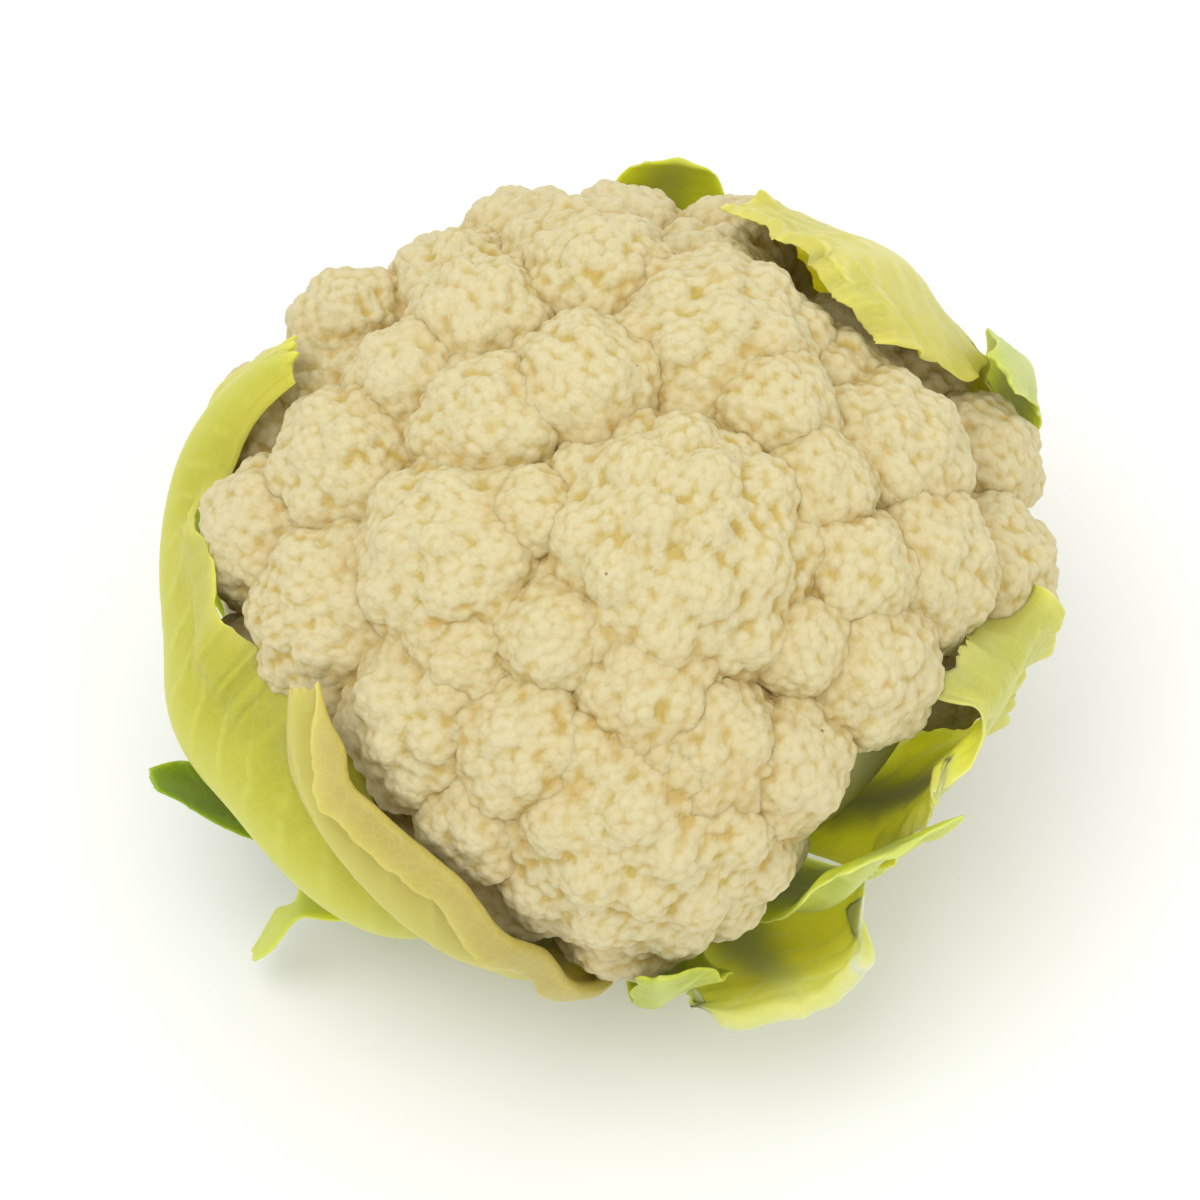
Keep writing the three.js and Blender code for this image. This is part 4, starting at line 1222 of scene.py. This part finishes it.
def sheet_normals(middle, like=None):
    """The normals of a sheet of points, on the side that another table of normals points to."""
    normals = unit(np.cross(np.gradient(middle, axis=1), np.gradient(middle, axis=0)))
    if like is not None and (normals * like).sum() < 0:
        normals = -normals
    return normals


def eased(rows, times=FOLD_EASE):
    """Rows of a table, each drawn towards its neighbours many times over, with the first and last kept."""
    for _ in range(times):
        inner = (rows[:-2] + 2 * rows[1:-1] + rows[2:]) / 4
        rows = np.concatenate([rows[:1], inner, rows[-1:]])
    return rows


def fold_on(middle, normals, lengths, turn, roll):
    """A sheet carried on past its last column, round a roll and straight on, as more columns of points.

    A turn above 0 goes to the side of the normals and one below 0 to the other side."""
    way = math.copysign(1, turn)
    turn = abs(turn)
    edge, up = middle[:, -1], unit(eased(normals[:, -1])) * way
    ahead = eased(unit(edge - middle[:, -3]))
    ahead = unit(ahead - up * (ahead * up).sum(axis=1, keepdims=True))
    points, faces_out = [], []
    for step in range(1, FOLD_STEPS + 1):
        run = step / FOLD_STEPS * (roll * turn + lengths)
        angle = np.minimum(run / roll, turn)[:, None]
        on = np.maximum(run - roll * turn, 0)[:, None]
        round_it = roll * (np.sin(angle) * ahead + (1 - np.cos(angle)) * up)
        points.append(edge + round_it + on * (math.cos(turn) * ahead + math.sin(turn) * up))
        faces_out.append(way * (np.cos(angle) * up - np.sin(angle) * ahead))
    return np.stack(points, axis=1), np.stack(faces_out, axis=1)


def from_ends(middle):
    """How far each point of a leaf is from its nearest margin or its tip, in millimetres."""
    steps = np.linalg.norm(np.diff(middle, axis=1), axis=2)
    left = np.concatenate([np.zeros((len(middle), 1)), np.cumsum(steps, axis=1)], axis=1)
    right = left[:, -1:] - left
    rise = np.linalg.norm(np.diff(middle, axis=0), axis=2)
    up = np.concatenate([np.zeros((1, middle.shape[1])), np.cumsum(rise, axis=0)], axis=0)
    return np.minimum(np.minimum(left, right), up[-1:] - up)


def turned(tables, side):
    """A leaf's tables with one margin brought round to the last column, or taken back again."""
    if side == "tip":
        return [table.swapaxes(0, 1) for table in tables]
    return [table[:, ::-1] for table in tables] if side == "left" else tables


def with_fold(tables, leaf, fold, number):
    """A leaf's tables with one of its margins folded over."""
    side, length, turn, roll, start, end = fold
    tables = turned(tables, side)
    along = np.linspace(0, 1, len(tables[0]))
    window = np.clip(np.minimum(along - start, end - along) * FOLD_RISE, 0, 1)
    window = np.maximum(window * window * (3 - 2 * window), 0.02)
    jag = 0.3 * (0.5 + 0.5 * uneven(along * 22, number + 230)) + 0.08 * uneven(along * 90, number + 250)
    jag = 1 - min(1, leaf.get("torn", 1)) * jag
    more, facing = fold_on(tables[0], tables[1], length * window * jag, math.radians(turn), roll)
    plain = np.zeros(more.shape[:2])
    added = [more, facing, plain + MARGIN, plain, plain]
    return turned([np.concatenate(pair, axis=1) for pair in zip(tables, added)], side)


def leaf_sheet(name, leaf, number, balls, settings):
    """A leaf's blade as tables: the points of its middle, normals, thickness, rib and veins."""
    outer, inner = leaf_faces(leaf, balls)
    rows, columns = FINE_ROWS.get(name, USUAL_ROWS), 2 * FINE_HALF.get(name, USUAL_HALF)
    u, w = np.meshgrid(np.linspace(0, 1, rows + 1), np.linspace(-1, 1, columns + 1), indexing="ij")
    half, side = np.abs(w), np.where(w > 0, 40.0, 0.0)
    opened = np.clip(u * 4, 0, 1)

    # Torn edges, cut back into the leaf
    torn = settings.raggedness * leaf.get("torn", 1)
    bites = 0.35 * uneven(u * 60 + side, number + 20) + 0.25 * uneven(u * 190 + side, number)
    rag = torn * opened * (0.5 + bites)
    tip_rag = 0.3 * torn * (0.5 + 0.5 * uneven(w * 9, number + 50)) * u**8
    v = 0.5 + 0.5 * w * (1 - rag * half**6)
    blunt = leaf.get("blunt", 0) * np.abs(w) ** 5 * u**4
    front, back = (smooth_grid(face, u * (1 - tip_rag - blunt), v) for face in (outer, inner))
    ease = leaf.get("ease", SHEET_EASE)
    front, back = (
        eased(eased(face, ease).swapaxes(0, 1), ease).swapaxes(0, 1) for face in (front, back))
    middle = (front + back) / 2
    normals = sheet_normals(middle, front - back)
    thick = ((front - back) * normals).sum(axis=2)

    # Distances along the rib and beside it
    spine = middle[:, columns // 2]
    length = np.concatenate([[0], np.cumsum(np.linalg.norm(np.diff(spine, axis=0), axis=1))])[:, None]
    beside = np.cumsum(np.linalg.norm(np.diff(middle, axis=1), axis=2), axis=1)
    beside = np.concatenate([np.zeros((rows + 1, 1)), beside], axis=1)
    beside = beside - beside[:, columns // 2][:, None]

    # Margins that turn out, with waves and frills
    near_tip = np.clip((u - TIP_START) / (1 - TIP_START), 0, 1)
    flare_left, flare_right, flare_tip = leaf.get("flare", (0, 0, 0))
    flare = np.where(w > 0, flare_right, flare_left) * half**2.5 * opened + flare_tip * near_tip**1.6
    margin = np.maximum(half**3, near_tip**3)
    narrow = np.clip((beside[:, -1:] - beside[:, :1]) / WIDE_ENOUGH, 0, 1) ** 2
    frill = leaf.get("frill", 0.8) * margin * opened * narrow
    wave = frill * uneven(length * 0.22 + side, number + 170)
    wave = wave + 0.5 * frill * uneven(length * 0.6 + side, number + 9)
    wave = wave + 0.7 * frill * near_tip * uneven(beside * 0.35, number + 190)
    crinkle = 0.5 * uneven(length * 0.35, number + 110) * uneven(beside * 0.4, number + 140)
    crinkle = crinkle * half * opened * narrow
    middle = middle + normals * (flare + wave + crinkle)[..., None]
    normals = sheet_normals(middle, normals)

    # The rib, and side veins that leave it on alternate sides
    height = value_at(leaf["height"], u)
    ribbed = np.exp(-(beside / (RIB_FOOT + height)) ** 2) * np.clip(1.1 - 0.5 * u, 0, 1)
    spacing = settings.vein_spacing / MM
    run = length - 0.75 * np.abs(beside) + np.where(w > 0, spacing / 2, 0)
    run = run + 2.5 * uneven(length * 0.05 + beside * 0.08, number + 80)
    off_vein = np.abs(((run / spacing) % 1) - 0.5) * spacing
    vein = np.exp(-(off_vein / (1.3 - 0.7 * half)) ** 2) * np.clip((np.abs(beside) - 1) / 4, 0, 1)
    vein = vein * (1 - 0.6 * half) * opened
    tables = [middle, normals, thick, ribbed, vein]
    for fold in leaf.get("folds", ()):
        tables = with_fold(tables, leaf, fold, number)
    return tables


class CAULIFLOWER_OT_leaves(bpy.types.Operator):
    """Make the leaves with their veins, waves, folds and ragged edges"""

    bl_idname = "cauliflower.leaves"
    bl_label = "Leaves"

    def execute(self, context):
        settings = context.scene.cauliflower_leaves
        balls = curd_balls()
        for number, (name, leaf) in enumerate(LEAVES.items()):
            middle, normals, thick, ribbed, vein = leaf_sheet(name, leaf, number, balls, settings)
            from_edge = from_ends(middle)
            relief = vein * settings.vein_relief / MM
            half_thick = thick / 2 * (0.5 + 0.5 * np.clip(from_edge / 1.2, 0, 1))
            front = middle + normals * (half_thick + relief)[..., None]
            back = middle - normals * (half_thick - 0.3 * relief)[..., None]
            grid = np.arange(thick.size).reshape(thick.shape)
            a, b, c, d = grid[:-1, :-1], grid[:-1, 1:], grid[1:, 1:], grid[1:, :-1]
            loop = np.concatenate([grid[0, :-1], grid[:-1, -1], grid[-1, :0:-1], grid[:0:-1, 0]])
            ahead = np.roll(loop, -1)
            outside = np.stack([a, b, c, d], axis=-1).reshape(-1, 4)
            inside = np.stack([a, d, c, b], axis=-1).reshape(-1, 4) + grid.size
            edge = np.stack([loop, loop + grid.size, ahead + grid.size, ahead], axis=-1)
            faces = np.concatenate([outside, inside, edge]).tolist()
            points = np.concatenate([front.reshape(-1, 3), back.reshape(-1, 3)])
            rim = np.exp(-from_edge / leaf.get("rim", RIM_FADE))
            marks = {"ribbed": ribbed, "vein": vein, "rim": rim}
            attributes = {key: np.tile(values.ravel(), 2) for key, values in marks.items()}
            attributes["inside"] = np.repeat([0.0, 1.0], grid.size)
            piece = new_piece(name + "_blade", points, faces, attributes)
            dress(piece, waxy_leaf(name, leaf["colours"]), leaf["slot"], name)
        return {"FINISHED"}


# The stage: half the floor's width in millimetres, and the lights' places, sizes in metres and watts
FLOOR_REACH = 3000
LIGHTS = {
    "key": ((-0.35, -0.25, 1.1), 0.8, 4.4),
    "fill": ((0.9, -0.9, 0.8), 1.2, 3.4),
    "back": ((0.2, 1.0, 0.9), 1.0, 2.0),
}
ROOM_LIGHT = 0.9
SENSOR = 36.0
# How far the head's middle is from the middle of the picture, for each unit of the picture's width
VIEW_SHIFT = (-27 / 1200, -15 / 1200)


class CAULIFLOWER_OT_stage(bpy.types.Operator):
    """Set up the floor, the lights and the camera"""

    bl_idname = "cauliflower.stage"
    bl_label = "Stage"

    def execute(self, context):
        settings = context.scene.cauliflower_stage
        corners = [[x * FLOOR_REACH, y * FLOOR_REACH, 0] for x, y in ((-1, -1), (1, -1), (1, 1), (-1, 1))]
        floor = new_piece("floor", corners, [[0, 1, 2, 3]], smooth=False)
        paper = bpy.data.materials.new("matt_paper")
        paper.use_nodes = True
        shader = paper.node_tree.nodes["Principled BSDF"]
        shader.inputs["Base Color"].default_value = tuple(settings.floor)
        shader.inputs["Roughness"].default_value = 0.9
        floor.data.materials.append(paper)
        for name, (place, size, power) in LIGHTS.items():
            light = bpy.data.lights.new(name, "AREA")
            light.energy, light.size = power, size
            lamp = bpy.data.objects.new(name, light)
            lamp.location = place
            aim = np.array(place) - MIDDLE * MM
            lean = math.atan2(math.hypot(aim[0], aim[1]), aim[2])
            lamp.rotation_euler = (lean, 0, math.atan2(aim[0], -aim[1]))
            context.scene.collection.objects.link(lamp)
        world = bpy.data.worlds.new("soft_room")
        world.use_nodes = True
        sky = world.node_tree.nodes["Background"].inputs
        sky["Color"].default_value = (1, 1, 1, 1)
        sky["Strength"].default_value = ROOM_LIGHT
        context.scene.world = world
        camera = bpy.data.cameras.new("camera")
        camera.sensor_width = SENSOR
        camera.lens = SENSOR * VIEW_DISTANCE * MM / settings.view_width
        camera.shift_x, camera.shift_y = VIEW_SHIFT
        eye = bpy.data.objects.new("camera", camera)
        tilt = math.radians(VIEW_TILT)
        eye.location = (MIDDLE + np.array([0, -math.cos(tilt), math.sin(tilt)]) * VIEW_DISTANCE) * MM
        eye.rotation_euler = (math.radians(90) - tilt, 0, 0)
        context.scene.collection.objects.link(eye)
        context.scene.camera = eye
        context.scene.view_settings.view_transform = "Standard"
        return {"FINISHED"}


OPERATORS = (
    CAULIFLOWER_OT_stage, CAULIFLOWER_OT_curd, CAULIFLOWER_OT_branches, CAULIFLOWER_OT_stalk,
    CAULIFLOWER_OT_leaves)


class CAULIFLOWER_PT_panel(bpy.types.Panel):
    """The steps that make the head, in order"""

    bl_idname = "CAULIFLOWER_PT_panel"
    bl_label = "Cauliflower head"
    bl_space_type = "VIEW_3D"
    bl_region_type = "UI"
    bl_category = "Cauliflower"

    def draw(self, context):
        for operator in OPERATORS:
            self.layout.operator(operator.bl_idname)


SETTINGS = {
    "cauliflower_curd": CurdSettings,
    "cauliflower_stalk": StalkSettings,
    "cauliflower_leaves": LeafSettings,
    "cauliflower_stage": StageSettings,
}


def register():
    for name, kind in SETTINGS.items():
        bpy.utils.register_class(kind)
        setattr(bpy.types.Scene, name, bpy.props.PointerProperty(type=kind))
    for kind in OPERATORS + (CAULIFLOWER_PT_panel,):
        bpy.utils.register_class(kind)


def unregister():
    for kind in reversed(OPERATORS + (CAULIFLOWER_PT_panel,)):
        bpy.utils.unregister_class(kind)
    for name, kind in reversed(SETTINGS.items()):
        delattr(bpy.types.Scene, name)
        bpy.utils.unregister_class(kind)


def main():
    register()
    bpy.ops.cauliflower.stage()
    bpy.ops.cauliflower.curd()
    bpy.ops.cauliflower.branches()
    bpy.ops.cauliflower.stalk()
    bpy.ops.cauliflower.leaves()


if __name__ == "__main__":
    main()
